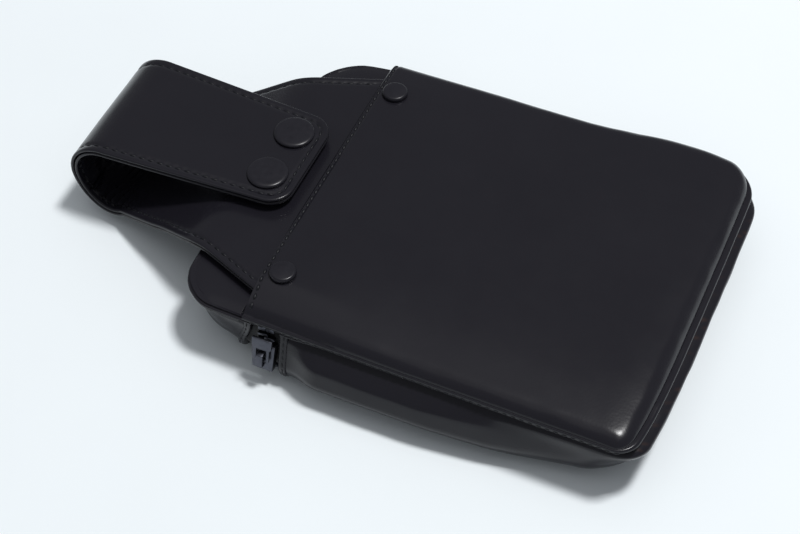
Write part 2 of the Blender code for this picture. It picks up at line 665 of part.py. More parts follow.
def build_slider(slider, pull_hinge, finish):
    """The slider in its own frame: x across the zip, y up along the side wall, z out of the leather.

    Its plate covers both rows of teeth, and its flange guides the row that stays with the case.
    """
    origin = (0, 0, 0)
    foot = -CHAIN_DEPTH
    bore = CHAIN_HALF_WIDTH + CLEARANCE
    half = bore + SLIDER_FLANGE
    rings = []
    for y, wide in ((-SLIDER_LENGTH / 2, half - SLIDER_TAPER), (SLIDER_LENGTH / 2, half)):
        profile = [(-wide, CLEARANCE), (-wide, SLIDER_TOP), (wide, SLIDER_TOP)]
        profile += [(wide, foot), (bore, foot), (bore, CLEARANCE)]
        rings.append([Vector((x, y, z)) for x, z in profile])
    add_piece("zip_slider", loft(rings), finish["zip_metal"], slider, origin)

    seat = SLIDER_TOP + CLEARANCE
    end = BRIDGE_LENGTH / 2
    throat = BRIDGE_SHOULDER - BRIDGE_LEG / 2
    ceiling = BRIDGE_CROWN - BRIDGE_TOP
    arch = [(-end, seat), (-BRIDGE_SHOULDER, BRIDGE_CROWN), (BRIDGE_SHOULDER, BRIDGE_CROWN), (end, seat)]
    arch += [(end - BRIDGE_LEG, seat), (throat, ceiling), (-throat, ceiling), (BRIDGE_LEG - end, seat)]
    bridge = prism(arch, -BRIDGE_WIDTH / 2, BRIDGE_WIDTH / 2, (1, 2, 0))
    add_piece("zip_slider_bridge", bridge, finish["zip_metal"], slider, origin)

    thick = PULL_THICKNESS / 2
    eye = BRIDGE_WIDTH / 2 + 2 * CLEARANCE
    neck = eye + PULL_ARM
    shoulder = PULL_EYE + PULL_ARM
    tab = [(-neck, -thick), (neck, -thick), (neck, PULL_EYE), (PULL_HALF_WIDTH, shoulder)]
    tab += [(PULL_HALF_WIDTH, PULL_LENGTH), (-PULL_HALF_WIDTH, PULL_LENGTH)]
    tab += [(-PULL_HALF_WIDTH, shoulder), (-neck, PULL_EYE)]
    plate = prism(tab, -thick, thick, (0, 1, 2))
    pull = add_piece("zip_pull", plate, finish["zip_metal"], pull_hinge, origin)
    cut(pull, add_cutter("pull_eye", box((-eye, thick, -FAR), (eye, PULL_EYE, FAR)), pull_hinge))


def build_strap(runs, carriers, case, finish):
    """Two leather layers for each run of the strap, and the snap fasteners through its root and flap.

    A carrier is the frame that a run hangs on, with that frame's place in the case.
    """
    half = STRAP_THICKNESS / 2
    snaps = [(-SNAP_FROM_SEAM, -SNAP_SPREAD), (-SNAP_FROM_SEAM, SNAP_SPREAD)]
    post_hole = SNAP_POST_RADIUS + CLEARANCE
    barrel_hole = SNAP_BARREL_RADIUS + CLEARANCE
    middle = STRAP_TOP + SNAP_GAP / 2
    post_drill = add_cutter("snap_post_holes", pins(post_hole, 0, middle, snaps), case)
    barrel_drill = add_cutter("snap_barrel_holes", pins(barrel_hole, middle, 2 * middle, snaps), case)
    drills = {"root": post_drill, "flap": barrel_drill}
    names = ("root", "bend_lower", "bend_upper", "flap")
    for name, run, (carrier, origin) in zip(names, runs, carriers):
        for layer, low, high in (("outer", -half, -CLEARANCE / 2), ("lining", CLEARANCE / 2, half)):
            sheet = strap_layer(run, low, high)
            piece = add_piece(f"strap_{name}_{layer}", sheet, finish["leather"], carrier, origin)
            if name in drills:
                cut(piece, drills[name])
    for side, (x, y) in zip(("near", "far"), snaps):
        build_snap(side, (x, y, 0), carriers[0], carriers[-1], finish)


def build_snap(side, centre, root, flap, finish):
    """A snap fastener: cap and socket on the flap's carrier, stud and post on the root's."""
    seat = FLAP_TOP + CLEARANCE
    barrel_end = FLAP_UNDERSIDE + CLEARANCE
    cap = dome(SNAP_CAP_RADIUS, SNAP_CAP_HEIGHT, seat, SNAP_DOME_POWER)
    cap += [(SNAP_BARREL_RADIUS, seat), (SNAP_BARREL_RADIUS, barrel_end), (0, barrel_end)]
    add_piece("snap_cap_" + side, turned(cap, centre), finish["snap"], *flap)

    stud_seat = STRAP_TOP + CLEARANCE
    stud_flange = stud_seat + SNAP_FLANGE_THICKNESS
    socket_top = FLAP_UNDERSIDE - CLEARANCE
    socket_foot = stud_flange + CLEARANCE
    bore = SNAP_HEAD_RADIUS + SNAP_PLAY
    body = bore + SNAP_SOCKET_WALL
    lip = socket_top - SNAP_FLANGE_THICKNESS
    socket = [(bore, socket_top), (SNAP_FLANGE_RADIUS, socket_top), (SNAP_FLANGE_RADIUS, lip)]
    socket += [(body, lip), (body, socket_foot), (bore, socket_foot)]
    add_piece("snap_socket_" + side, turned(socket, centre), finish["snap"], *flap)

    head_top = FLAP_UNDERSIDE - CLEARANCE
    neck_top = (stud_flange + head_top) / 2
    bore = SNAP_POST_RADIUS + CLEARANCE
    stud = [(0, head_top), (SNAP_NECK_RADIUS, head_top), (SNAP_HEAD_RADIUS, (head_top + neck_top) / 2)]
    stud += [(SNAP_NECK_RADIUS, neck_top), (SNAP_NECK_RADIUS, stud_flange)]
    stud += [(SNAP_FLANGE_RADIUS, stud_flange), (SNAP_FLANGE_RADIUS, stud_seat)]
    stud += [(bore, stud_seat), (bore, neck_top), (0, neck_top)]
    add_piece("snap_stud_" + side, turned(stud, centre), finish["snap"], *root)

    post_top = neck_top - CLEARANCE
    under = STRAP_UNDERSIDE - CLEARANCE
    floor = under - SNAP_FLANGE_THICKNESS
    post = [(0, post_top), (SNAP_POST_RADIUS, post_top), (SNAP_POST_RADIUS, under)]
    post += [(SNAP_FLANGE_RADIUS, under), (SNAP_FLANGE_RADIUS, floor), (0, floor)]
    add_piece("snap_post_" + side, turned(post, centre), finish["snap"], *root)


def main():
    clear_scene()
    finish = {
        "leather": material("black smooth leather", (0.016, 0.016, 0.018), 0.42),
        "foam": material("charcoal foam", (0.04, 0.04, 0.042), 0.95),
        "lining": material("black lining cloth", (0.02, 0.02, 0.022), 0.85),
        "snap": material("black lacquered brass", (0.02, 0.02, 0.021), 0.38, 0.3),
        "tape": material("black zip tape", (0.018, 0.018, 0.019), 0.9),
        "zip_teeth": material("black nylon teeth", (0.02, 0.02, 0.021), 0.45),
        "zip_metal": material("blackened zinc", (0.08, 0.08, 0.082), 0.4, 0.9),
    }
    slider_spot = slider_place()
    slider_reach = BRIDGE_SHOULDER * math.sin(WALL_TILT) + BRIDGE_CROWN * math.cos(WALL_TILT)
    near_y = slider_spot.y - slider_reach
    far_y = BODY_HALF_WIDTH + WALL_OUTSET
    bottom_x = BODY_BELOW_SEAM + WALL_OUTSET
    case = frame("case_frame", (-(bottom_x + LOOP_END_X) / 2, -(near_y + far_y) / 2, 0))
    lid_hinge = frame("lid_hinge", HINGE, case)
    runs, folds = strap_path()
    carriers = [(frame("loop_hinge", (0, 0, 0), lid_hinge), HINGE)]
    for name, fold in zip(("lower_fold", "middle_fold", "upper_fold"), folds):
        parent, place = carriers[-1]
        carriers.append((frame(name, fold - place, parent), fold))
    slider = frame("slider_frame", slider_spot, case, math.radians(90) - WALL_TILT)
    bar = (SLIDER_TOP + BRIDGE_CROWN - BRIDGE_TOP) / 2
    pull_hinge = frame("pull_hinge", (0, 0, bar), slider)
    build_body(case, finish)
    build_lid(lid_hinge, case, finish)
    build_zip(case, lid_hinge, finish)
    build_slider(slider, pull_hinge, finish)
    build_strap(runs, carriers, case, finish)


main()
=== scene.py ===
"""Looks of a zipped leather belt case with a snap-closed belt loop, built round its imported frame.

The case lies on its front with its back up. +X runs from the belt loop to the bottom of the case,
+Y across it and +Z up. Lengths are in metres.
"""

import math

import bmesh
import bpy
from bpy.props import FloatProperty, FloatVectorProperty, PointerProperty
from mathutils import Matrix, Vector, noise
from mathutils.bvhtree import BVHTree


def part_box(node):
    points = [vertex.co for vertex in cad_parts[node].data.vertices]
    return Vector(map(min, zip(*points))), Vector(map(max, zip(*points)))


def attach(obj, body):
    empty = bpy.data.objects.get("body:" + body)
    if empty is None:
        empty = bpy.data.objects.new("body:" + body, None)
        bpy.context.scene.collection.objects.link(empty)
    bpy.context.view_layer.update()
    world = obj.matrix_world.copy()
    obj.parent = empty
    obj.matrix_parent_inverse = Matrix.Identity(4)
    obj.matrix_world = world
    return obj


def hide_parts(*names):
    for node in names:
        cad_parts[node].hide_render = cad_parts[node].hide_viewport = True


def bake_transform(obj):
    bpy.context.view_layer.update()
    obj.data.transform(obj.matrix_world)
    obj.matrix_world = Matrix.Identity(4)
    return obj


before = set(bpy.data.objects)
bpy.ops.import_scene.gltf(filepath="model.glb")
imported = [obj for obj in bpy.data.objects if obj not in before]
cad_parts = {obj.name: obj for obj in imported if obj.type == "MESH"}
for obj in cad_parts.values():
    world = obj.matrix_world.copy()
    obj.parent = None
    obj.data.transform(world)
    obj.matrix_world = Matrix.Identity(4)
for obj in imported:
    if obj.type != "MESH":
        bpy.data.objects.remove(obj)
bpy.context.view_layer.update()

bl_info = {
    "name": "Zipped leather belt case",
    "version": (1, 0, 0),
    "blender": (4, 5, 0),
    "location": "3D View > Sidebar > Belt case",
    "description": "Dresses the packed belt case in leather, thread, zip and lacquered metal",
    "category": "Object",
}

MM = 0.001
UP = Vector((0, 0, 1))


def low(node):
    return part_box(node)[0]


def high(node):
    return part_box(node)[1]


# Places read from the frame
SEAM_X = low("strap_anchor").x
LAP_X = low("back_panel").x
BOTTOM_X = high("back_panel").x
HEAD_X = low("lid_back_panel").x
MIDDLE_Y = (low("back_panel").y + high("back_panel").y) / 2
HALF_WIDTH = (high("back_panel").y - low("back_panel").y) / 2
EDGE_Z = low("back_panel").z
PANEL_TOP = high("back_panel").z
LID_TOP = high("lid_back_panel").z
WALL_TOP = high("gusset").z
LID_WALL_TOP = high("lid_gusset").z
FLOOR_Z = low("front_panel").z
ZIP_LEFT = high("lid_gusset").x
ZIP_RIGHT = low("gusset").x
ZIP_X = (ZIP_LEFT + ZIP_RIGHT) / 2
ZIP_TOP = high("zip_tape_lower").z
MOUTH_X = low("body_lining").x
LID_MOUTH_X = high("lid_lining").x
LINING_TOP = high("body_lining").z
LID_LINING_TOP = high("lid_lining").z
STRAP_LOW = low("strap_anchor").z
STRAP_HIGH = high("strap_anchor").z
STRAP_SEAM_HALF = high("strap_anchor").y - MIDDLE_Y
STRAP_BEND_HALF = high("strap_bend_lower_outer").y - MIDDLE_Y
FLAP_TOP = high("strap_flap_outer").z
FLAP_TIP_X = high("strap_flap_outer").x
LOOP_LOW = low("strap_root_outer").z
LOOP_END_X = low("strap_bend_upper_outer").x
POST_END_X = low("snap_post_near").x
INSIDE = Vector(((HEAD_X + BOTTOM_X) / 2, MIDDLE_Y, EDGE_Z / 2))

# Steps round the case in plan, and round a turned piece
CORNER_STEPS = 16
SIDE_STEPS = 120
END_STEPS = 76
TURNED_STEPS = 56


def hex_colour(text):
    """Linear red, green and blue of an sRGB hex value."""
    channels = [int(text[place:place + 2], 16) / 255 for place in (0, 2, 4)]
    return tuple(c / 12.92 if c <= 0.04045 else ((c + 0.055) / 1.055) ** 2.4 for c in channels)


def length(name, description, default):
    return FloatProperty(name=name, description=description, default=default, min=0, unit="LENGTH")


def colour(name, description, text):
    base = hex_colour(text)
    limits = {"size": 3, "min": 0, "max": 1}
    return FloatVectorProperty(name=name, description=description, default=base, subtype="COLOR", **limits)


class CaseSizes(bpy.types.PropertyGroup):
    """Sizes of the leatherwork that the frame's boxes don't give."""

    leather: length("Leather", "Thickness of the case's leather", 0.0018)
    near_corner: length("Near corner", "Corner radius of the back at the bottom's near end", 0.007)
    far_corner: length("Far corner", "Corner radius of the back at the bottom's far end", 0.012)
    head_corner: length("Head corner", "Corner radius of the lid's back", 0.015)
    front_corner: length("Front corner", "Corner radius of the wall at the front's bottom", 0.016)
    front_head_corner: length("Front head corner", "Corner radius of the wall at the front's head", 0.032)
    front_round: length("Front round", "Radius between side wall and front", 0.009)
    wall_tilt: FloatProperty(
        name="Wall tilt", description="Lean of the side wall", default=math.radians(13), unit="ROTATION"
    )
    panel_fold: length("Panel fold", "Width of the tight fold at the padded back's edge", 0.0054)
    fold_rise: length("Fold rise", "Height of the tight fold at the padded back's edge", 0.0059)
    panel_roll: length("Panel roll", "Width over which the padded back rises to its crown", 0.040)
    lip_edge: length("Lip edge", "Thickness of the back's skived edge", 0.0011)
    side_lip: length("Side lip", "Sewn lip of the back panel along the sides", 0.0007)
    end_lip: length("End lip", "Sewn lip of the back panel along the bottom", 0.0021)
    flange: length("Flange", "Thickness of the side wall's sewn flange", 0.0011)
    side_bulge: length("Side bulge", "How far the soft side wall stands out low down", 0.0044)
    end_roll: length("End roll", "How far the bottom wall rolls out under the lip", 0.0036)
    end_tuck: length("End tuck", "How far the bottom seam lies in behind the lip", 0.0036)
    side_tuck: length("Side tuck", "How far the side seams lie in behind the lip", 0.0006)
    near_drop: length("Near drop", "How far the padded back sinks towards its near edge", 0.0030)
    end_drop: length("End drop", "How far the back sinks towards the bottom", 0.0022)
    end_draw: length("End draw", "How far the bottom wall draws in towards the front", 0.0065)
    corner_draw: length("Corner draw", "How far the sides draw in at the bottom's corners", 0.0062)
    far_swell: length("Far swell", "How far the soft far side stands out near the bottom", 0.0044)
    end_bow: length("End bow", "How far the bottom's corners lie back from its middle", 0.0032)
    lid_draw: length("Lid draw", "How far the lid's sides draw in towards its front", 0.0065)
    zip_slant: length("Zip slant", "How far the zip's upper edge slants away down the near side", 0.0062)
    strap_dip: length("Strap dip", "Radius where the strap turns down off the lid", 0.025)
    strap_bow: length("Strap bow", "Extra half width of the strap beside the seam", 0.0026)
    bend_spread: length("Bend spread", "Extra half width of the strap where its bend starts", 0.0030)
    flap_tip_half: length("Flap tip", "Half width of the flap at its tip", 0.0222)
    flap_tip_radius: length("Flap tip radius", "Corner radius of the flap's tip", 0.0085)
    strap_gap: length("Strap groove", "Groove between the strap's two layers", 0.0003)
    strap_stitch_inset: length("Strap stitch inset", "Stitch row from the strap's edge", 0.0030)
    strap_stitch_pitch: length("Strap stitch pitch", "Stitch to stitch along the strap", 0.0036)
    seam_stitch_pitch: length("Seam stitch pitch", "Stitch to stitch along the lap's seam", 0.0034)
    thread: length("Thread", "Width of the sewing thread", 0.0009)
    wrinkle: length("Wrinkles", "Depth of the wrinkles inside the loop's bend", 0.0010)
    tooth_pitch: length("Tooth pitch", "Tooth to tooth on one side of the zip", 0.0025)


class CaseColours(bpy.types.PropertyGroup):
    """Colours of the finishes."""

    leather: colour("Leather", "Dyed and finished leather", "19181e")
    leather_light: colour("Leather, light", "Leather where its finish is thin", "1d1c22")
    worn: colour("Worn edge", "Leather rubbed at its edges", "4a3328")
    thread: colour("Thread", "Sewing thread", "14151b")
    lacquer: colour("Lacquer", "Lacquer on the snap and rivet caps", "18171d")
    zinc: colour("Zinc", "Blackened zip metal", "3b3c42")
    tape: colour("Tape", "Zip tape", "161618")
    lining: colour("Lining", "Lining cloth", "26262a")
    floor: colour("Floor", "Studio floor", "f2f8fb")


def sizes():
    return bpy.context.scene.case_sizes


def colours():
    return bpy.context.scene.case_colours


def clamp(value):
    return min(max(value, 0.0), 1.0)


def soft_step(start, finish, value):
    """0 at start, 1 at finish and a soft step between."""
    share = clamp((value - start) / (finish - start))
    return share * share * (3 - 2 * share)


def hump(value, centre, width):
    """1 at the centre, falling away softly on both sides."""
    return math.exp(-(((value - centre) / width) ** 2))


def rolled_share(inset, roll, power=2.2):
    """Share of a padded crown reached at a distance in from its edge."""
    share = clamp(inset / roll)
    return (1 - (1 - share) ** power) ** (1 / power)


def ripple(place, grain, seed):
    """Smooth noise from -1 to 1 whose waves are about one grain long."""
    return noise.noise(Vector(place) / grain + Vector((seed, 2.3 * seed, 5.1 * seed)))


# Meshes

WELD_GAP = 0.005 * MM
LEATHER_EDGE = 0.5 * MM


def grid_bmesh(rows, wrap=True, caps=False):
    """A skin over rows of equally many points, closed round each row, with its ends filled if asked."""
    mesh = bmesh.new()
    lines = [[mesh.verts.new(point) for point in row] for row in rows]
    count = len(rows[0])
    for here, there in zip(lines, lines[1:]):
        for i in range(count if wrap else count - 1):
            j = (i + 1) % count
            mesh.faces.new((here[i], here[j], there[j], there[i]))
    if caps:
        mesh.faces.new(lines[0])
        mesh.faces.new(lines[-1])
    return mesh


def weld(mesh):
    bmesh.ops.remove_doubles(mesh, verts=mesh.verts, dist=WELD_GAP)
    bmesh.ops.dissolve_degenerate(mesh, edges=mesh.edges, dist=WELD_GAP / 5)


def link(name, data):
    """A new object in the scene."""
    made = bpy.data.objects.new(name, data)
    bpy.context.scene.collection.objects.link(made)
    return made


def smooth(data, sharp):
    """Shades a mesh smooth, apart from edges sharper than an angle in degrees."""
    data.shade_smooth()
    data.set_sharp_from_angle(angle=math.radians(sharp))


def add_piece(name, mesh, finish, sharp=40):
    data = bpy.data.meshes.new(name)
    mesh.to_mesh(data)
    mesh.free()
    data.materials.append(finish)
    smooth(data, sharp)
    return link(name, data)


def apply_modifiers(piece):
    """Turns what the modifiers make into the piece's own mesh."""
    depsgraph = bpy.context.evaluated_depsgraph_get()
    made = bpy.data.meshes.new_from_object(piece.evaluated_get(depsgraph))
    old = piece.data
    piece.modifiers.clear()
    piece.data = made
    made.name = piece.name
    bpy.data.meshes.remove(old)


def round_edges(piece, width, segments=3, angle=40):
    bevel = piece.modifiers.new("rounded edges", "BEVEL")
    bevel.width = width
    bevel.segments = segments
    bevel.limit_method = "ANGLE"
    bevel.angle_limit = math.radians(angle)
    bevel.harden_normals = False


def thick_skin(name, mesh, finish, thickness, side, edge, segments):
    """An open skin given its thickness outwards (1) or inwards (-1), with rounded cut edges."""
    weld(mesh)
    mesh.normal_update()
    lean = 0
    for face in mesh.faces:
        lean += (face.calc_center_median() - INSIDE).dot(face.normal) * face.calc_area()
    if lean < 0:
        bmesh.ops.reverse_faces(mesh, faces=mesh.faces)
    piece = add_piece(name, mesh, finish)
    solid = piece.modifiers.new("thickness", "SOLIDIFY")
    solid.thickness = thickness
    solid.offset = side
    solid.use_even_offset = False
    round_edges(piece, edge, segments, 60)
    apply_modifiers(piece)
    return piece


def leather_skin(name, mesh, thickness, edge=LEATHER_EDGE):
    piece = thick_skin(name, mesh, smooth_black_leather(), thickness, -1, edge, 2)
    smooth(piece.data, 50)
    return piece


def cut_across(mesh, x, side=1, clear=False):
    """Scores a skin across at x and, if asked, keeps only the side towards +x (1) or -x (-1)."""
    every = mesh.verts[:] + mesh.edges[:] + mesh.faces[:]
    bmesh.ops.bisect_plane(mesh, geom=every, plane_co=(x, 0, 0), plane_no=(side, 0, 0), clear_inner=clear)


def carry(piece, body, slot, *replaced):
    """Puts a finished piece on its body and hides the nodes that it stands for. The slot is not used."""
    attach(piece, body)
    if replaced:
        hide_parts(*replaced)


def soften(name, node, finish, width, body, slot):
    """Puts a CAD node's own shape, with its edges rounded, in the node's place."""
    mesh = bmesh.new()
    mesh.from_mesh(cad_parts[node].data)
    weld(mesh)
    bmesh.ops.dissolve_limit(mesh, angle_limit=math.radians(1), verts=mesh.verts[:], edges=mesh.edges[:])
    piece = add_piece(name, mesh, finish)
    round_edges(piece, width)
    apply_modifiers(piece)
    smooth(piece.data, 50)
    carry(piece, body, slot, node)


# The case's outline

WALL_TUCK = 0.6 * MM
LEAST_CORNER = 4 * MM
FRONT_SEAM = 1.6
FRONT_SEAM_GAP = 0.035
FAR_SWELL_X = BOTTOM_X - 27 * MM
FAR_SWELL_RUN = 27 * MM
FAR_BOW_SHARE = 0.25
END_BOW_SPAN = (BOTTOM_X - 40 * MM, BOTTOM_X)
# Lid corners in plan, each with how it sinks and draws in, and how far round it that reaches
HEAD_CORNERS = (
    (Vector((HEAD_X, MIDDLE_Y + HALF_WIDTH)), Vector((2.2, -2.2, -1.5)) * MM),
    (Vector((HEAD_X, MIDDLE_Y - HALF_WIDTH)), Vector((1.2, 0.6, 0.0)) * MM),
)
SLUMP_REACH = 20 * MM


def plan_ring(outset, radii, head):
    """The rounded outline in plan, moved out from the back's edge, as (place, outward direction) pairs.

    The radii are those of the near and far corners at the bottom, then the far and near ones at the head.
    """
    low_x = head - outset
    high_x = BOTTOM_X + outset
    half = HALF_WIDTH + outset
    steps_on = (END_STEPS, SIDE_STEPS, END_STEPS, SIDE_STEPS)
    corners = []
    for (x, side), radius in zip(((high_x, -1), (high_x, 1), (low_x, 1), (low_x, -1)), radii):
        radius = min(max(radius, 0), half)
        inward = -radius if x > low_x else radius
        corners.append((Vector((x + inward, MIDDLE_Y + side * (half - radius), 0)), radius))
    ring = []
    for quarter, (centre, radius) in enumerate(corners):
        for step in range(CORNER_STEPS + 1):
            angle = (quarter - 1 + step / CORNER_STEPS) * math.pi / 2
            outward = Vector((math.cos(angle), math.sin(angle), 0))
            ring.append((centre + radius * outward, outward))
        next_centre, next_radius = corners[(quarter + 1) % 4]
        start, outward = ring[-1]
        finish = next_centre + next_radius * outward
        steps = steps_on[quarter]
        for step in range(1, steps):
            ring.append((start.lerp(finish, step / steps), outward))
    for place, _ in ring:
        across = (place.y - MIDDLE_Y) / HALF_WIDTH
        place.x -= end_bow(place.x, across)
        place.y += far_swell(place.x) * max(across, 0)
    return ring


def level_row(outset, radii, height):
    """The outline in plan as a row of points at one height."""
    return [Vector((place.x, place.y, height)) for place, _ in plan_ring(outset, radii, HEAD_X)]


def end_bow(x, across):
    """How far the bottom's edge lies back towards its corners, most of all the near one."""
    most = sizes().end_bow if across < 0 else FAR_BOW_SHARE * sizes().end_bow
    return most * across**4 * soft_step(*END_BOW_SPAN, x)


def far_swell(x):
    """How far the soft far side stands out, most of all near the bottom."""
    return sizes().far_swell * hump(x, FAR_SWELL_X, FAR_SWELL_RUN)


def wall_foot():
    s = sizes()
    return FLOOR_Z + s.front_round * (1 + math.sin(s.wall_tilt))


def round_centre():
    """How far the centre of the front round stands out from the back's edge."""
    s = sizes()
    lean = (WALL_TOP - wall_foot()) * math.tan(s.wall_tilt)
    return lean - WALL_TUCK - s.front_round * math.cos(s.wall_tilt)


def back_corners(outset):
    s = sizes()
    radii = (s.near_corner, s.far_corner, s.head_corner, s.head_corner)
    return [max(radius + outset, LEAST_CORNER) for radius in radii]


def front_corners():
    s = sizes()
    return s.front_corner, s.front_corner, s.front_head_corner, s.front_head_corner


def wall_section(share, depth):
    """Outset, height, corner radii and lean of the wall (share 0 to 1) and the front round (1 to 2)."""
    s = sizes()
    reach = s.front_round - depth
    if share < 1:
        foot = FLOOR_Z + s.front_round + reach * math.sin(s.wall_tilt)
        height = WALL_TOP + (foot - WALL_TOP) * share
        outset = round_centre() + reach * math.cos(s.wall_tilt) - (height - foot) * math.tan(s.wall_tilt)
        up = (height - wall_foot()) / (WALL_TOP - wall_foot())
        pairs = zip(back_corners(0), front_corners())
        radii = [front + (top - front) * up - depth for top, front in pairs]
        return outset, height, radii, -s.wall_tilt
    angle = -s.wall_tilt + (share - 1) * (math.pi / 2 + s.wall_tilt)
    outset = round_centre() + reach * math.cos(angle)
    widest = round_centre() + reach * math.cos(s.wall_tilt)
    radii = [front - depth - max(widest - outset, 0) for front in front_corners()]
    return outset, FLOOR_Z + s.front_round - reach * math.sin(angle), radii, angle


# Where the soft walls move, each span from nothing to the full move
SLANT_SIDE = (MIDDLE_Y - 36 * MM, MIDDLE_Y - 56 * MM)
SLANT_HEIGHT = (LID_WALL_TOP, FLOOR_Z + 3 * MM)
SLANT_WAY = Vector((-1, 0.4, 0))
DRAW_FOOT = FLOOR_Z + 4 * MM
LID_DRAW_SPAN = (ZIP_RIGHT + 2 * MM, ZIP_LEFT - 10 * MM)
CORNER_DRAW_SPAN = (BOTTOM_X - 55 * MM, BOTTOM_X - 3 * MM)
END_DRAW_SPAN = (BOTTOM_X - 55 * MM, BOTTOM_X + 4 * MM)
BELOW_ZIP_SPAN = (ZIP_RIGHT + 2 * MM, ZIP_RIGHT + 16 * MM)
ABOVE_ZIP_SPAN = (ZIP_LEFT - 3 * MM, ZIP_LEFT - 22 * MM)


def slack(spot):
    """Moves a place with the soft walls, which draw in towards the front and slant away from the zip."""
    s = sizes()
    across = (spot.y - MIDDLE_Y) / HALF_WIDTH
    if spot.x > ZIP_LEFT:
        share = (ZIP_X - spot.x) / (ZIP_X - ZIP_LEFT)
    else:
        share = (spot.x - HEAD_X) / (ZIP_LEFT - HEAD_X)
    slant = soft_step(*SLANT_SIDE, spot.y) * soft_step(*SLANT_HEIGHT, spot.z) * clamp(share)
    depth = clamp((LID_WALL_TOP - spot.z) / (LID_WALL_TOP - DRAW_FOOT))
    sideways = s.lid_draw * soft_step(*LID_DRAW_SPAN, spot.x)
    sideways += s.corner_draw * soft_step(*CORNER_DRAW_SPAN, spot.x)
    drawn = Vector((s.end_draw * soft_step(*END_DRAW_SPAN, spot.x), sideways * across, 0))
    return spot + s.zip_slant * slant * SLANT_WAY - depth * drawn


def slack_mesh(rows, x, side):
    """A skin over rows, cut at x to one side and moved with the soft walls."""
    mesh = grid_bmesh(rows)
    cut_across(mesh, x, side, True)
    for vert in mesh.verts:
        vert.co = slack(vert.co)
    return mesh


def away_from_zip(x):
    """0 beside the zip, where the leather is held flat, and 1 well away from it."""
    return soft_step(*(BELOW_ZIP_SPAN if x > ZIP_X else ABOVE_ZIP_SPAN), x)


def edge_wave(place, outward):
    """The uneven line of the sewn edge, strongest along the bottom."""
    end = max(outward.x, 0)
    slow = (0.16 + 0.45 * end) * ripple(place, 21 * MM, 3.1)
    quick = (0.10 + 0.12 * end) * ripple(place, 7 * MM, 8.4)
    return MM * (slow + quick) * away_from_zip(place.x)


def corner_slump(spot):
    """How the lid's soft corners sink and draw in, less and less towards the floor."""
    moved = Vector((0, 0, 0))
    for corner, slump in HEAD_CORNERS:
        moved += hump((spot.xy - corner).length, 0, SLUMP_REACH) * slump
    return soft_step(FLOOR_Z, EDGE_Z, spot.z) * moved


FLANGE_GAP = 0.1 * MM
FLANGE_STEPS = 6
WALL_STEPS = 30
FRONT_STEPS = 7
WALL_FOLD = 0.9 * MM
END_SAG = 0.6 * MM
LID_BULGE = 0.4 * MM
FRONT_SHARES = (0.06, 0.14, 0.24, 0.36, 0.5, 0.66, 0.84, 1.0)


def flange_stations(top):
    """Outset and height across the flange that is sewn under the back's edge, round its cut edge."""
    half = sizes().flange / 2
    middle = top - FLANGE_GAP - half
    stations = [(-4.5 * MM, middle + half), (-1.4 * MM, middle + half)]
    for step in range(FLANGE_STEPS + 1):
        angle = math.pi * (0.5 - step / FLANGE_STEPS)
        stations.append((half * math.cos(angle) - 0.3 * MM, middle + half * math.sin(angle)))
    stations.append((-1.5 * MM, middle - half))
    return stations


def wall_rows(top):
    """Rows of the outer face of the side wall, from a flange under the back's edge to the front seam."""
    flange = flange_stations(top)
    _, _, top_radii, _ = wall_section(0, 0)
    rows = [wall_row(outset, height, top_radii, 0) for outset, height in flange]
    foot = flange[-1][1] - 0.5 * MM
    first = (WALL_TOP - foot) / (WALL_TOP - wall_foot())
    for step in range(WALL_STEPS + 1):
        run = step / WALL_STEPS
        outset, height, radii, _ = wall_section(first + (FRONT_SEAM - first) * run, 0)
        tuck = WALL_FOLD * (1 - soft_step(0, 0.09, run))
        rows.append(wall_row(outset - tuck, height, radii, run))
    return rows


def wall_row(outset, height, radii, run):
    """One row of the side wall; run goes from 0 at its top to 1 at the front seam."""
    s = sizes()
    swell = soft_step(0, 0.32, run) * (1 - soft_step(0.55, 1.05, run))
    roll = math.sin(math.pi * min(run / 0.75, 1) ** 0.5)
    sewn = 1 - soft_step(0, 0.12, run)
    row = []
    for place, outward in plan_ring(outset, radii, HEAD_X):
        side = abs(outward.y) ** 2
        end = max(outward.x, 0) ** 2
        along = clamp((place.x - ZIP_RIGHT) / (BOTTOM_X - ZIP_RIGHT))
        bulge = side * swell * s.side_bulge * (1 - soft_step(0.38, 0.74, along))
        bulge += end * (s.end_roll * roll - s.end_tuck * sewn) - side * s.side_tuck * sewn
        if place.x < ZIP_X:
            bulge = side * swell * LID_BULGE
        spot = Vector((place.x, place.y, height))
        creased = Vector((place.x / 3, place.y / 3, height))
        bulge += swell * MM * (0.5 * ripple(creased, 9 * MM, 1.7) + 0.2 * ripple(spot, 8 * MM, 4.2))
        bulge += sewn * 0.16 * MM * ripple((place.x, place.y, 0), 2.4 * MM, 6.6)
        spot += outward * away_from_zip(place.x) * bulge
        spot.z += (edge_wave(place, outward) - END_SAG * end) * (1 - soft_step(0, 0.3, run))
        spot.z = max(spot.z, FLOOR_Z)
        row.append(spot + corner_slump(spot))
    return row


def front_rows():
    """Rows of the outer face of the front, from its seam with the side wall in to its middle."""
    rows = []
    first = FRONT_SEAM + FRONT_SEAM_GAP
    for step in range(FRONT_STEPS + 1):
        outset, height, radii, _ = wall_section(first + (2 - first) * step / FRONT_STEPS, 0)
        rows.append(level_row(outset, radii, height))
    flat = HALF_WIDTH + outset
    for share in FRONT_SHARES:
        inner = [max(radius - flat * share, 6 * MM) for radius in radii]
        rows.append(level_row(outset - flat * share, inner, FLOOR_Z))
    return rows


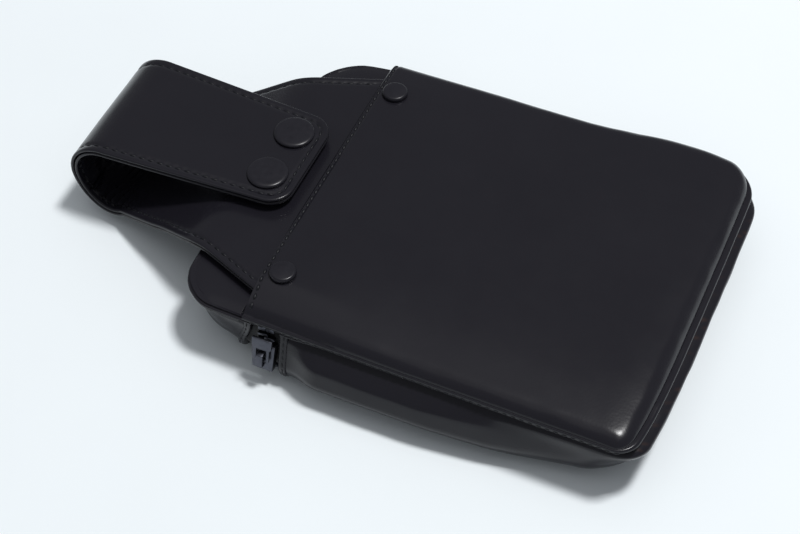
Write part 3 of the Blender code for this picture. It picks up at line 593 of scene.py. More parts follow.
# Rows across a cover: shares of its sewn lip, then distances in from its fold in millimetres
LIP_ROUND = 0.6
LIP_SHARES = (0, 0.03, 0.1, 0.2, 0.32, 0.45, 0.6, 0.78, 0.92)
CROWN_INSETS = (
    0, 0.05, 0.15, 0.35, 0.65, 1.0, 1.4, 1.9, 2.5, 3.1, 3.8, 4.6, 5.6, 7, 9, 11.2, 13.6, 16.2, 19, 22, 26,
    31, 37, 44, 52, 60,
)
LIP_BLEND = 20 * MM
WAVE_REACH = 6 * MM


def cover_rows(head, rise_at, lip_of, shape):
    """Rows of a back cover's face: its sewn lip, its folded edge and its crown in to the middle."""
    s = sizes()
    stations = [(share, 0.0) for share in LIP_SHARES] + [(1.0, inset * MM) for inset in CROWN_INSETS]
    stations.append((1.0, HALF_WIDTH - s.side_lip))
    rows = []
    for share, inset in stations:
        outset = -s.side_lip * share - inset
        edge = min(share / LIP_ROUND, 1)
        lift = s.lip_edge * math.sqrt(1 - (1 - edge) ** 2) + rise_at(inset)
        row = []
        for place, outward in plan_ring(outset, back_corners(outset), head):
            extra = (lip_of(outward) - s.side_lip) * share * (1 - soft_step(0, LIP_BLEND, inset))
            spot = Vector((place.x, place.y, EDGE_Z + lift)) - extra * outward
            spot.z += edge_wave(place, outward) * (1 - soft_step(0, WAVE_REACH, inset))
            row.append(shape(spot, inset))
        rows.append(row)
    return rows


def back_lip(outward):
    s = sizes()
    return s.side_lip + (s.end_lip - s.side_lip) * max(outward.x, 0) ** 2


def back_rise(inset):
    """Height of the padded back above its lip: a tight fold at the edge, then a slow crown."""
    s = sizes()
    crown = PANEL_TOP - EDGE_Z - s.lip_edge - s.fold_rise
    fold = s.fold_rise * rolled_share(inset, s.panel_fold, 2.05)
    return fold + crown * rolled_share(inset, s.panel_roll, 2.0)


BEYOND_SEAM = (SEAM_X, SEAM_X + 60 * MM)
NEAR_DROP_FROM = 0.1
END_DROP_RUN = 17 * MM
LAP_FALL_SPAN = (LAP_X, LAP_X + 50 * MM)
PAST_STRAP_SPAN = (-6 * MM, 9 * MM)
NEAR_FALL = 3.6 * MM
FAR_FALL = 1.0 * MM
LIP_ROOM = 0.1 * MM


def back_shape(spot, inset):
    """The padded back's slow swell, the puckers of its fold and its fall at the lap's ends."""
    s = sizes()
    flat = Vector((spot.x, spot.y, 0))
    beyond = soft_step(*BEYOND_SEAM, spot.x)
    swell = 0.16 * soft_step(4 * MM, 22 * MM, inset) * ripple(flat, 38 * MM, 2.2)
    swell += 0.05 * soft_step(1 * MM, 6 * MM, inset) * ripple(flat, 12 * MM, 9.7)
    swell += 0.2 * hump(inset, 3.0 * MM, 2.2 * MM) * ripple(flat, 6.5 * MM, 5.8)
    towards = max((MIDDLE_Y - spot.y) / HALF_WIDTH - NEAR_DROP_FROM, 0) / (1 - NEAR_DROP_FROM)
    out = clamp(1 - (BOTTOM_X - spot.x) / END_DROP_RUN)
    sunk = s.near_drop * towards**3 * beyond + s.end_drop * out**2
    height = spot.z + swell * beyond * MM - sunk * rolled_share(inset, s.panel_fold)
    past_strap = abs(spot.y - MIDDLE_Y) - STRAP_SEAM_HALF - s.strap_bow
    fall = NEAR_FALL if spot.y < MIDDLE_Y else FAR_FALL
    fall *= soft_step(*PAST_STRAP_SPAN, past_strap) * (1 - soft_step(*LAP_FALL_SPAN, spot.x))
    lip_top = EDGE_Z + s.lip_edge + LIP_ROOM
    spot.z = max(height - fall, min(height, lip_top))
    return spot


# The lap, cut back so that the opened loop clears it, and the lines scored beside its stitches
LAP_ROOM = 1.0 * MM
LAP_LINES = (1.2, 1.4, 1.6, 1.8, 2.0, 2.25, 2.55, 2.9, 3.3, 3.8, 4.4, 5.2)
LAP_CHANNEL_DEPTH = 0.6 * MM
LAP_CHANNEL_WIDTH = 0.75 * MM
LAP_CHANNEL_SPAN = (MIDDLE_Y - 60 * MM, MIDDLE_Y - 18 * MM)
LAP_TURN_SPAN = (MIDDLE_Y - 48 * MM, MIDDLE_Y - 64 * MM)
LAP_TURN = 1.2 * MM


def sink_lap(mesh):
    """Sinks the sewn channel along the lap, between lines scored close beside it."""
    for line in LAP_LINES:
        cut_across(mesh, LAP_X + line * MM)
    for vert in mesh.verts:
        depth = LAP_CHANNEL_DEPTH * soft_step(*LAP_CHANNEL_SPAN, vert.co.y)
        vert.co.z -= depth * hump(vert.co.x, lap_stitch_x(vert.co.y), LAP_CHANNEL_WIDTH)


def lap_stitch_x(y):
    """The stitch row along the lap, which runs out towards the bottom at the near end."""
    return SEAM_X - 0.3 * MM + LAP_TURN * soft_step(*LAP_TURN_SPAN, y)


def lid_rise(inset):
    """Height of the lid's back above its lip."""
    s = sizes()
    return (LID_TOP - EDGE_Z + s.leather - s.lip_edge) * rolled_share(inset, 8 * MM)


def lid_shape(spot, inset):
    """The lid's soft back, a leather's thickness below the case's own, with its slack corners."""
    spot.z += 0.15 * MM * ripple((spot.x, spot.y, 0), 15 * MM, 5.5) * soft_step(1 * MM, 5 * MM, inset)
    return spot + corner_slump(spot) - sizes().leather * UP


LINING_DEPTH = 6.1 * MM
LINING_STEPS = 14
LINING_SHARES = (0.15, 0.4, 0.7, 1.0)


def lining_rows(top):
    """Rows of the lining's inner face: its ceiling, its walls and its floor."""

    def across(share, height):
        inner = [radius * (1 - share) for radius in radii]
        return level_row(outset - (HALF_WIDTH + outset) * share, inner, height)

    outset, _, radii, _ = wall_section(0, LINING_DEPTH)
    rows = [across(share, top) for share in (*reversed(LINING_SHARES), 0.0)]
    for step in range(1, LINING_STEPS + 1):
        outset, height, radii, _ = wall_section(2 * step / LINING_STEPS, LINING_DEPTH)
        rows.append(level_row(outset, radii, min(height, top)))
    return rows + [across(share, height) for share in LINING_SHARES]


# Rows of repeated shapes

EDGE_PITCH = 3.0 * MM
STITCH_DROP = 0.1 * MM
SEAM_END = 3 * MM
STITCH_FILL = 0.86
STITCH_SWAY = math.radians(5)
SWAY_SEED = 7
DROP_HEIGHT = 0.2


def row_tree():
    """Geometry Nodes: one shape on every point, turned to the point's face and run, then made real."""
    tree = bpy.data.node_groups.get("Row of shapes")
    if tree:
        return tree
    tree = bpy.data.node_groups.new("Row of shapes", "GeometryNodeTree")
    sockets = (("Geometry", "Geometry"), ("Shape", "Object"), ("Finish", "Material"), ("Sway", "Float"))
    for name, kind in sockets:
        tree.interface.new_socket(name, in_out="INPUT", socket_type="NodeSocket" + kind)
    tree.interface.new_socket("Geometry", in_out="OUTPUT", socket_type="NodeSocketGeometry")
    given = add_node(tree, "NodeGroupInput").outputs
    shape = add_node(tree, "GeometryNodeObjectInfo", {"Object": given["Shape"]})
    stored = "GeometryNodeInputNamedAttribute"
    up, run = (
        add_node(tree, stored, {"Name": name}, data_type="FLOAT_VECTOR").outputs[0]
        for name in ("face", "run")
    )
    upright = add_node(tree, "FunctionNodeAlignRotationToVector", {"Vector": up}, axis="Z")
    facing = {"Rotation": upright.outputs[0], "Vector": run}
    along = add_node(tree, "FunctionNodeAlignRotationToVector", facing, axis="X", pivot_axis="Z")
    less = add_node(tree, "ShaderNodeMath", {0: given["Sway"], 1: -1.0}, operation="MULTIPLY")
    limits = {2: less.outputs[0], 3: given["Sway"], "Seed": SWAY_SEED}
    chance = add_node(tree, "FunctionNodeRandomValue", limits, data_type="FLOAT")
    about = {"Axis": UP, "Angle": chance.outputs[1]}
    swing = add_node(tree, "FunctionNodeAxisAngleToRotation", about)
    turns = {0: along.outputs[0], 1: swing.outputs[0]}
    turned = add_node(tree, "FunctionNodeRotateRotation", turns, rotation_space="LOCAL")
    points = {
        "Points": given["Geometry"],
        "Instance": shape.outputs["Geometry"],
        "Rotation": turned.outputs[0],
    }
    placed = add_node(tree, "GeometryNodeInstanceOnPoints", points)
    real = add_node(tree, "GeometryNodeRealizeInstances", {"Geometry": placed.outputs[0]})
    smoothed = add_node(tree, "GeometryNodeSetShadeSmooth", {"Geometry": real.outputs[0]})
    dress = {"Geometry": smoothed.outputs[0], "Material": given["Finish"]}
    dressed = add_node(tree, "GeometryNodeSetMaterial", dress)
    add_node(tree, "NodeGroupOutput", {"Geometry": dressed.outputs[0]})
    return tree


def repeat(name, stations, mesh, finish, sway=0.0):
    """A plain mesh of one shape at every station (place, run, face)."""
    shape_data = bpy.data.meshes.new(name + " shape")
    mesh.to_mesh(shape_data)
    shape = bpy.data.objects.new(name + " shape", shape_data)
    data = bpy.data.meshes.new(name)
    data.from_pydata([place for place, _, _ in stations], [], [])
    for label, pick in (("run", 1), ("face", 2)):
        layer = data.attributes.new(label, "FLOAT_VECTOR", "POINT")
        layer.data.foreach_set("vector", [part for station in stations for part in station[pick]])
    piece = link(name, data)
    modifier = piece.modifiers.new("row", "NODES")
    modifier.node_group = row_tree()
    given = {"Shape": shape, "Finish": finish, "Sway": sway}
    for item in modifier.node_group.interface.items_tree:
        if item.in_out == "INPUT" and item.name in given:
            modifier[item.identifier] = given[item.name]
    apply_modifiers(piece)
    for label in ("run", "face"):
        if label in piece.data.attributes:
            piece.data.attributes.remove(piece.data.attributes[label])
    bpy.data.objects.remove(shape)
    bpy.data.meshes.remove(shape_data)
    return piece


def sew(name, stations, pitch, body, width):
    """Stitches on stations (place, run, face), riding on a body, or loose if there is none.

    Each stitch is a plump strand of thread, pulled down at both ends.
    """
    run = STITCH_FILL * pitch
    mesh = bmesh.new()
    bmesh.ops.create_uvsphere(mesh, u_segments=8, v_segments=6, radius=1)
    for vert in mesh.verts:
        x, y, z = vert.co.z, vert.co.y, vert.co.x
        vert.co = (x * run / 2, y * width / 2, z * width * 0.42 - 0.25 * width * x * x)
    bmesh.ops.recalc_face_normals(mesh, faces=mesh.faces)
    piece = repeat(name, stations, mesh, polyester_thread(), STITCH_SWAY)
    mesh.free()
    if body:
        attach(piece, body)
    return piece


def even_stations(path, pitch):
    """Stations at even steps along a path of (place, face) points."""
    stations = []
    along = pitch / 2
    for (start, face), (finish, next_face) in zip(path, path[1:]):
        leg = finish - start
        while along <= leg.length:
            share = along / leg.length
            facing = face.lerp(next_face, share).normalized()
            stations.append((start.lerp(finish, share), leg.normalized(), facing))
            along += pitch
        along -= leg.length
    return stations


def from_gap(path):
    """A path cut out of a ring, started again at its widest gap."""
    start = max(range(len(path)), key=lambda i: (path[i][0] - path[i - 1][0]).length)
    return path[start:] + path[:start]


def drop_on(piece, places):
    """Path points (place, face) where places are dropped straight down on a piece."""
    mesh = bmesh.new()
    mesh.from_mesh(piece.data)
    tree = BVHTree.FromBMesh(mesh)
    mesh.free()
    path = []
    for place in places:
        hit, face, _, _ = tree.ray_cast(Vector((place.x, place.y, DROP_HEIGHT)), -UP)
        if hit:
            path.append((hit, face))
    return path


# The strap's path

POST_ROOM = 0.3 * MM


class StrapPath:
    """The strap from the lap seam down to the bend, round it and back along the flap."""

    def __init__(self):
        s = sizes()
        self.thick = STRAP_HIGH - STRAP_LOW
        flap_middle = FLAP_TOP - self.thick / 2
        self.bend = (flap_middle - self.thick / 2 - LOOP_LOW) / 2
        centre_x = LOOP_END_X + self.bend + self.thick / 2
        self.centre = Vector((centre_x, MIDDLE_Y, flap_middle - self.bend))
        self.head = Vector((SEAM_X, MIDDLE_Y, (STRAP_LOW + STRAP_HIGH) / 2))
        flat_end = Vector((POST_END_X - POST_ROOM, MIDDLE_Y, self.head.z))
        self.dip_centre = flat_end - Vector((0, 0, s.strap_dip))
        apart = self.dip_centre - self.centre
        slope = math.asin((s.strap_dip + self.bend) / math.hypot(apart.x, apart.z))
        self.slope = slope - math.atan2(-apart.z, apart.x)
        self.turn = math.pi + self.slope
        self.dip_end = self.dip_centre + s.strap_dip * self.normal(self.slope)
        self.bend_start = self.centre - self.bend * self.normal(self.slope)
        lengths = (
            self.head.x - flat_end.x,
            s.strap_dip * self.slope,
            (self.bend_start - self.dip_end).length,
            self.bend * self.turn,
            FLAP_TIP_X - self.centre.x,
        )
        self.marks = [sum(lengths[:i]) for i in range(len(lengths) + 1)]
        self.end = self.marks[-1]

    @staticmethod
    def normal(angle):
        return Vector((-math.sin(angle), 0, math.cos(angle)))

    def bend_run(self, share):
        """Length from the seam at a share of the bend."""
        return self.marks[3] + self.bend * self.turn * share

    def station(self, run):
        """Place on the middle of the strap and its normal towards the inside of the loop."""
        dip, straight, bend, flap = self.marks[1:5]
        if run < dip:
            return self.head - Vector((run, 0, 0)), self.normal(0)
        if run < straight:
            inward = self.normal((run - dip) / sizes().strap_dip)
            return self.dip_centre + sizes().strap_dip * inward, inward
        if run < bend:
            along = self.bend_start - self.dip_end
            return self.dip_end + along.normalized() * (run - straight), self.normal(self.slope)
        if run < flap:
            inward = self.normal(self.slope - (run - bend) / self.bend)
            return self.centre - self.bend * inward, inward
        inward = self.normal(-math.pi)
        return self.centre - self.bend * inward + Vector((run - flap, 0, 0)), inward

    def spread(self, run):
        """How much wider the strap is round the start of its bend."""
        start = self.bend_run(0)
        begun = soft_step(0.3 * start, 0.78 * start, run)
        return sizes().bend_spread * begun * (1 - soft_step(start, self.bend_run(0.5), run))

    def flap_half(self, run):
        """Half width of the flap, before its corners are rounded."""
        share = (run - self.marks[4]) / (self.end - self.marks[4])
        return STRAP_BEND_HALF + (sizes().flap_tip_half - STRAP_BEND_HALF) * share

    def half_width(self, run):
        s = sizes()
        if run < self.marks[3]:
            x = self.station(run)[0].x
            share = (x - self.head.x) / (self.bend_start.x - self.head.x)
            bow = s.strap_bow * (1 - soft_step(0.42, 0.72, share)) + self.spread(run)
            return STRAP_SEAM_HALF + (STRAP_BEND_HALF - STRAP_SEAM_HALF) * share + bow
        if run < self.marks[4]:
            return STRAP_BEND_HALF + self.spread(run)
        radius = s.flap_tip_radius
        short = max(run - (self.end - radius), 0)
        return self.flap_half(run) - radius + math.sqrt(max(radius**2 - short**2, 0))

    def edge_distance(self, run, across):
        """Distance in from the strap's outline."""
        radius = sizes().flap_tip_radius
        past = run - (self.end - radius)
        out = abs(across) - (self.flap_half(run) - radius)
        if past > 0 and out > 0:
            return max(radius - math.hypot(past, out), 0)
        return max(min(self.half_width(run) - abs(across), self.end - run), 0)

    def place(self, run, across, lift):
        middle, inward = self.station(run)
        return middle + Vector((0, across, 0)) + lift * inward


# Columns across the strap: distances in from its edge in millimetres, then even steps
EDGE_COLUMNS = (0, 0.05, 0.17, 0.36, 0.6, 0.95, 1.5, 2.1, 2.6, 3.0, 3.4, 4.0, 5.0)
MIDDLE_COLUMNS = 22
STRAP_STEP = 0.45 * MM
TIP_STEPS = 20
CHANNEL_DEPTH = 0.5 * MM
CHANNEL_WIDTH = 0.7 * MM
EDGE_ROUND = 0.55
WRINKLE_PITCH = 2.8 * MM


def strap_columns(half):
    edge = [half - inset * MM for inset in EDGE_COLUMNS]
    middle = [edge[-1] * (1 - 2 * i / MIDDLE_COLUMNS) for i in range(1, MIDDLE_COLUMNS)]
    return edge + middle + [-across for across in reversed(edge)]


def wrinkles(path, run, across, inset):
    """Height of the folds that the strap's inner leather takes in the bend."""
    spot = (run, across, 0)
    bend = soft_step(path.bend_run(-0.25), path.bend_run(0.1), run)
    bend *= 1 - soft_step(path.bend_run(0.72), path.bend_run(0.95), run)
    drift = 2.1 * ripple(spot, 16 * MM, 6.1)
    fold = math.sin(math.tau * run / WRINKLE_PITCH + drift * math.tau)
    depth = sizes().wrinkle * (0.55 + 0.45 * ripple(spot, 9 * MM, 1.2))
    return bend * depth * fold * soft_step(0.4 * MM, 3.5 * MM, inset)


def strap_layer(path, first, last, side):
    """One layer of the strap between two lengths: side -1 is the outer leather and 1 the inner one.

    Its faces sink along the stitch row, its edges are rounded, and the inner face wrinkles in the bend.
    """
    s = sizes()
    layer = (path.thick - s.strap_gap) / 2
    middle = side * (layer + s.strap_gap) / 2
    steps = round((last - first) / STRAP_STEP / 2)
    runs = [first + (last - first) * i / steps for i in range(steps + 1)]
    if last >= path.end:
        radius = s.flap_tip_radius
        runs = [run for run in runs if run < path.end - radius - STRAP_STEP]
        turns = [math.pi / 2 * i / TIP_STEPS for i in range(TIP_STEPS + 1)]
        runs += [path.end - radius * (1 - math.sin(turn)) for turn in turns]
    rows = []
    for run in runs:
        beat = 0.8 + 0.2 * math.cos(math.tau * run / s.strap_stitch_pitch)
        columns = strap_columns(path.half_width(run))
        free_side = []
        glued_side = []
        for across in columns:
            inset = path.edge_distance(run, across)
            edge = min(inset / (EDGE_ROUND * layer), 1)
            rise = layer / 2 * math.sqrt(1 - (1 - edge) ** 2)
            channel = CHANNEL_DEPTH * beat * hump(inset, s.strap_stitch_inset, CHANNEL_WIDTH)
            swell = 0.12 * MM * ripple((run, across, 0), 14 * MM, 3.3) * soft_step(2 * MM, 8 * MM, inset)
            free = rise - channel + swell
            if side > 0:
                free += wrinkles(path, run, across, inset)
            free_side.append(path.place(run, across, middle + side * free))
            glued_side.append(path.place(run, across, middle - side * rise))
        rows.append(free_side + glued_side[-2:0:-1])
    mesh = grid_bmesh(rows)
    verts = mesh.verts[:]
    count = len(rows[0])
    for line in (verts[:count], verts[-count:]):
        for i in range(len(columns) - 1):
            corners = (line[i], line[i + 1], line[count - i - 1], line[-i])
            mesh.faces.new(list(dict.fromkeys(corners)))
    weld(mesh)
    bmesh.ops.recalc_face_normals(mesh, faces=mesh.faces)
    return mesh


STITCH_START = 3.0 * MM
STITCH_STEP = 0.5 * MM
STITCH_TURN_STEPS = 12


def strap_stitch_path(path):
    """The stitch row along and across the strap: up one side, round the tip and down the other."""
    s = sizes()
    inset = s.strap_stitch_inset
    radius = s.flap_tip_radius
    spots = []
    run = STITCH_START
    straight = path.end - radius
    while run < straight:
        spots.append((run, inset - path.half_width(run)))
        run += STITCH_STEP
    full = s.flap_tip_half - radius
    for i in range(STITCH_TURN_STEPS + 1):
        angle = math.pi / 2 * i / STITCH_TURN_STEPS
        across = -full - (radius - inset) * math.cos(angle)
        spots.append((straight + (radius - inset) * math.sin(angle), across))
    return spots + [(run, -across) for run, across in reversed(spots)]


# Finishes


def add_node(tree, kind, inputs=None, **settings):
    """Adds a node with its settings, and sets or links its inputs."""
    made = tree.nodes.new(kind)
    for name, value in settings.items():
        setattr(made, name, value)
    for name, value in (inputs or {}).items():
        socket = made.inputs[name]
        if isinstance(value, bpy.types.NodeSocket):
            tree.links.new(value, socket)
        else:
            socket.default_value = value
    return made


def new_finish(name, inputs):
    """A material whose shader has these constants, with its tree, its shader and its coordinates."""
    made = bpy.data.materials.new(name)
    made.use_nodes = True
    tree = made.node_tree
    shader = tree.nodes["Principled BSDF"]
    for socket, value in inputs.items():
        shader.inputs[socket].default_value = value
    return made, tree, shader, add_node(tree, "ShaderNodeTexCoord").outputs["Object"]


def per_mm(width):
    """Texture scale whose pattern repeats about once in a width in millimetres."""
    return 1 / (width * MM)


def scaled(base, factor):
    """A colour made lighter or darker, with its alpha."""
    return (*(min(part * factor, 1) for part in base), 1)


def gloss_span(pattern, least, most):
    """Settings that turn a noise into a roughness between two values."""
    return {"Value": pattern, "From Min": 0.3, "From Max": 0.7, "To Min": least, "To Max": most}


def made_once(build):
    """Keeps a finish after it is first made, so that every piece shares it."""
    kept = {}

    def fetch():
        if "finish" not in kept:
            kept["finish"] = build()
        return kept["finish"]

    return fetch


def mottled(name, inputs, grain, detail, dark, light, gloss=None):
    """A finish whose colour, and gloss if given, wander over a grain in millimetres."""
    made, tree, shader, where = new_finish(name, inputs)
    marks = {"Vector": where, "Scale": per_mm(grain), "Detail": detail}
    pattern = add_node(tree, "ShaderNodeTexNoise", marks).outputs["Fac"]
    shade = add_node(tree, "ShaderNodeMix", {0: pattern, 6: dark, 7: light}, data_type="RGBA")
    tree.links.new(shade.outputs[2], shader.inputs["Base Color"])
    if gloss:
        rough = add_node(tree, "ShaderNodeMapRange", gloss_span(pattern, *gloss))
        tree.links.new(rough.outputs["Result"], shader.inputs["Roughness"])
    return made


@made_once
def smooth_black_leather():
    """Corrected-grain cowhide, dyed black, pressed and sprayed semi-gloss.

    It gives the eye a deep black with soft broad reflections, a faint pore grain and slow mottling.
    The pores are drawn about twice their real width so that they show.
    """
    c = colours()
    inputs = {"Specular IOR Level": 0.22, "Coat Weight": 0.08, "Coat Roughness": 0.16}
    made, tree, shader, where = new_finish("smooth black leather", inputs)
    patterns = []
    for width, detail in ((38, 4.0), (9, 5.0), (3.2, 4.0)):
        marks = {"Vector": where, "Scale": per_mm(width), "Detail": detail}
        patterns.append(add_node(tree, "ShaderNodeTexNoise", marks).outputs["Fac"])
    mottle, cloud, crease = patterns
    pores = add_node(tree, "ShaderNodeTexVoronoi", {"Vector": where, "Scale": per_mm(0.9)})
    worn = add_node(tree, "ShaderNodeAttribute", attribute_name="wear")
    dyes = {0: mottle, 6: scaled(c.leather, 1), 7: scaled(c.leather_light, 1)}
    dye = add_node(tree, "ShaderNodeMix", dyes, data_type="RGBA")
    rub = add_node(tree, "ShaderNodeMath", {0: worn.outputs["Fac"], 1: cloud}, operation="MULTIPLY")
    rubs = {0: rub.outputs[0], 6: dye.outputs[2], 7: scaled(c.worn, 1)}
    shade = add_node(tree, "ShaderNodeMix", rubs, data_type="RGBA")
    gloss = add_node(tree, "ShaderNodeMapRange", gloss_span(cloud, 0.23, 0.27))
    fine = {"Height": pores.outputs["Distance"], "Strength": 0.14, "Distance": 0.08 * MM}
    grain = add_node(tree, "ShaderNodeBump", fine)
    broad = {"Height": crease, "Strength": 0.08, "Distance": 0.25 * MM, "Normal": grain.outputs["Normal"]}
    relief = add_node(tree, "ShaderNodeBump", broad)
    tree.links.new(shade.outputs[2], shader.inputs["Base Color"])
    tree.links.new(gloss.outputs["Result"], shader.inputs["Roughness"])
    tree.links.new(relief.outputs["Normal"], shader.inputs["Normal"])
    return made


@made_once
def polyester_thread():
    """Bonded polyester sewing thread, twisted: a soft sheen, with painted shade in fine slanting bands
    between the plies.
    """
    base = colours().thread
    inputs = {"Roughness": 0.45, "Specular IOR Level": 0.25}
    made, tree, shader, where = new_finish("bonded polyester thread", inputs)
    bands = {"Vector": where, "Scale": per_mm(0.5) / math.tau, "Distortion": 1.5}
    # Painted shade: wave bands darken the thread's colour where its twisted plies turn away from the light.
    ply_shade = add_node(tree, "ShaderNodeTexWave", bands, bands_direction="DIAGONAL")
    shades = {0: ply_shade.outputs["Fac"], 6: scaled(base, 0.55), 7: scaled(base, 1)}
    shade = add_node(tree, "ShaderNodeMix", shades, data_type="RGBA")
    tree.links.new(shade.outputs[2], shader.inputs["Base Color"])
    return made


@made_once
def black_lacquered_brass():
    """Pressed brass caps under black lacquer: a smooth satin shell with slight dust and handling marks."""
    base = colours().lacquer
    inputs = {"Specular IOR Level": 0.26, "Coat Weight": 0.08, "Coat Roughness": 0.2}
    shades = (scaled(base, 1), scaled(base, 1.4))
    return mottled("black lacquered brass", inputs, 2.5, 6.0, *shades, (0.26, 0.36))


@made_once
def blackened_zinc():
    """Die-cast zinc, blackened and tumbled: dark metal, paler where the finish has rubbed."""
    base = colours().zinc
    shades = (scaled(base, 1), scaled(base, 2.6))
    return mottled("blackened zinc", {"Metallic": 1.0}, 1.6, 6.0, *shades, (0.28, 0.45))


def woven(name, base, pitch, light):
    """A plain weave of this pitch in millimetres: threads that stand up in a fine check."""
    inputs = {"Roughness": 0.8, "Sheen Weight": 0.15, "Sheen Roughness": 0.5}
    made, tree, shader, where = new_finish(name, inputs)
    check = {"Vector": where, "Scale": per_mm(pitch), "Randomness": 0.25}
    weave = add_node(tree, "ShaderNodeTexVoronoi", check).outputs["Distance"]
    shades = {0: weave, 6: scaled(base, light), 7: scaled(base, 1)}
    shade = add_node(tree, "ShaderNodeMix", shades, data_type="RGBA")
    bump = add_node(tree, "ShaderNodeBump", {"Height": weave, "Strength": 0.5, "Distance": 0.2 * MM})
    tree.links.new(shade.outputs[2], shader.inputs["Base Color"])
    tree.links.new(bump.outputs["Normal"], shader.inputs["Normal"])
    return made


@made_once
def woven_zip_tape():
    """Woven polyester tape: matt black with a fine thread check, drawn coarse enough to show."""
    return woven("woven polyester tape", colours().tape, 0.7, 1.8)


@made_once
def nylon_lining():
    """Plain-woven nylon lining cloth: dark grey with a slight sheen across its threads."""
    return woven("woven nylon lining", colours().lining, 0.9, 1.5)


# Operators


class CASE_OT_back_cover(bpy.types.Operator):
    """Padded leather back with its sewn lip, cut square at the lap seam"""

    bl_idname = "case.back_cover"
    bl_label = "Back cover"

    HEAD_ROOM = 5 * MM
    EDGE_OUTSET = -0.1 * MM
    FACING = 0.9
    LAP_STEPS = 240
    LAP_STITCH_WIDTH = 1.25 * MM
    EDGE_STITCH_WIDTH = 0.8 * MM

    def execute(self, context):
        s = sizes()
        head = LAP_X - HALF_WIDTH - self.HEAD_ROOM
        mesh = grid_bmesh(cover_rows(head, back_rise, back_lip, back_shape))
        cut_across(mesh, LAP_X + LAP_ROOM, 1, True)
        sink_lap(mesh)
        cover = leather_skin("back_cover", mesh, s.leather)
        carry(cover, "pouch", "leather", "back_panel", "back_padding")

        half = HALF_WIDTH - SEAM_END
        lap = []
        for i in range(self.LAP_STEPS + 1):
            y = MIDDLE_Y - half + 2 * half * i / self.LAP_STEPS
            lap.append(Vector((lap_stitch_x(y), y, 0)))
        stations = even_stations(drop_on(cover, lap), s.seam_stitch_pitch)
        sew("lap_stitches", stations, s.seam_stitch_pitch, "pouch", self.LAP_STITCH_WIDTH)

        for label, side in (("near", -1), ("far", 1)):
            seam = []
            for place, outward in plan_ring(self.EDGE_OUTSET, back_corners(0), head):
                if place.x > LAP_X + SEAM_END and side * outward.y > self.FACING:
                    height = EDGE_Z - STITCH_DROP + edge_wave(place, outward)
                    seam.append((place + height * UP, outward))
            stations = even_stations(from_gap(seam), EDGE_PITCH)
            name = "back_edge_stitches_" + label
            sew(name, stations, EDGE_PITCH, "pouch", self.EDGE_STITCH_WIDTH)
        return {"FINISHED"}


def add_wall_and_front(names, top, window, side, body, nodes):
    """Soft leather side wall and front on one side of the zip; gives the wall."""
    pieces = []
    for name, rows, node in zip(names, (wall_rows(top), front_rows()), nodes):
        piece = leather_skin(name, slack_mesh(rows, window, side), sizes().leather)
        carry(piece, body, "leather", node)
        pieces.append(piece)
    return pieces[0]


class CASE_OT_walls(bpy.types.Operator):
    """Soft leather side wall and front of the case below the zip, and the strap's sewn end"""

    bl_idname = "case.walls"
    bl_label = "Walls and front"

    WEAR_HEIGHT = (WALL_TOP - 8 * MM, WALL_TOP - 4 * MM)
    WEAR_END = (BOTTOM_X - 14 * MM, BOTTOM_X - 5 * MM)
    WEAR_MOST = 0.9
    FLECK = 1.5 * MM

    def execute(self, context):
        names = ("side_wall", "front_cover")
        wall = add_wall_and_front(names, WALL_TOP, ZIP_RIGHT, 1, "pouch", ("gusset", "front_panel"))
        layer = wall.data.attributes.new("wear", "FLOAT", "POINT")
        layer.data.foreach_set("value", [self.rubbed(vert.co) for vert in wall.data.vertices])
        soften("anchor_leather", "strap_anchor", smooth_black_leather(), 0.4 * MM, "pouch", "leather")
        return {"FINISHED"}

    def rubbed(self, place):
        """Wear along the bottom seam, in flecks, from 0 to 1."""
        worn = soft_step(*self.WEAR_HEIGHT, place.z) * soft_step(*self.WEAR_END, place.x)
        return self.WEAR_MOST * worn * soft_step(0.3, 0.7, ripple(place, self.FLECK, 7.9))


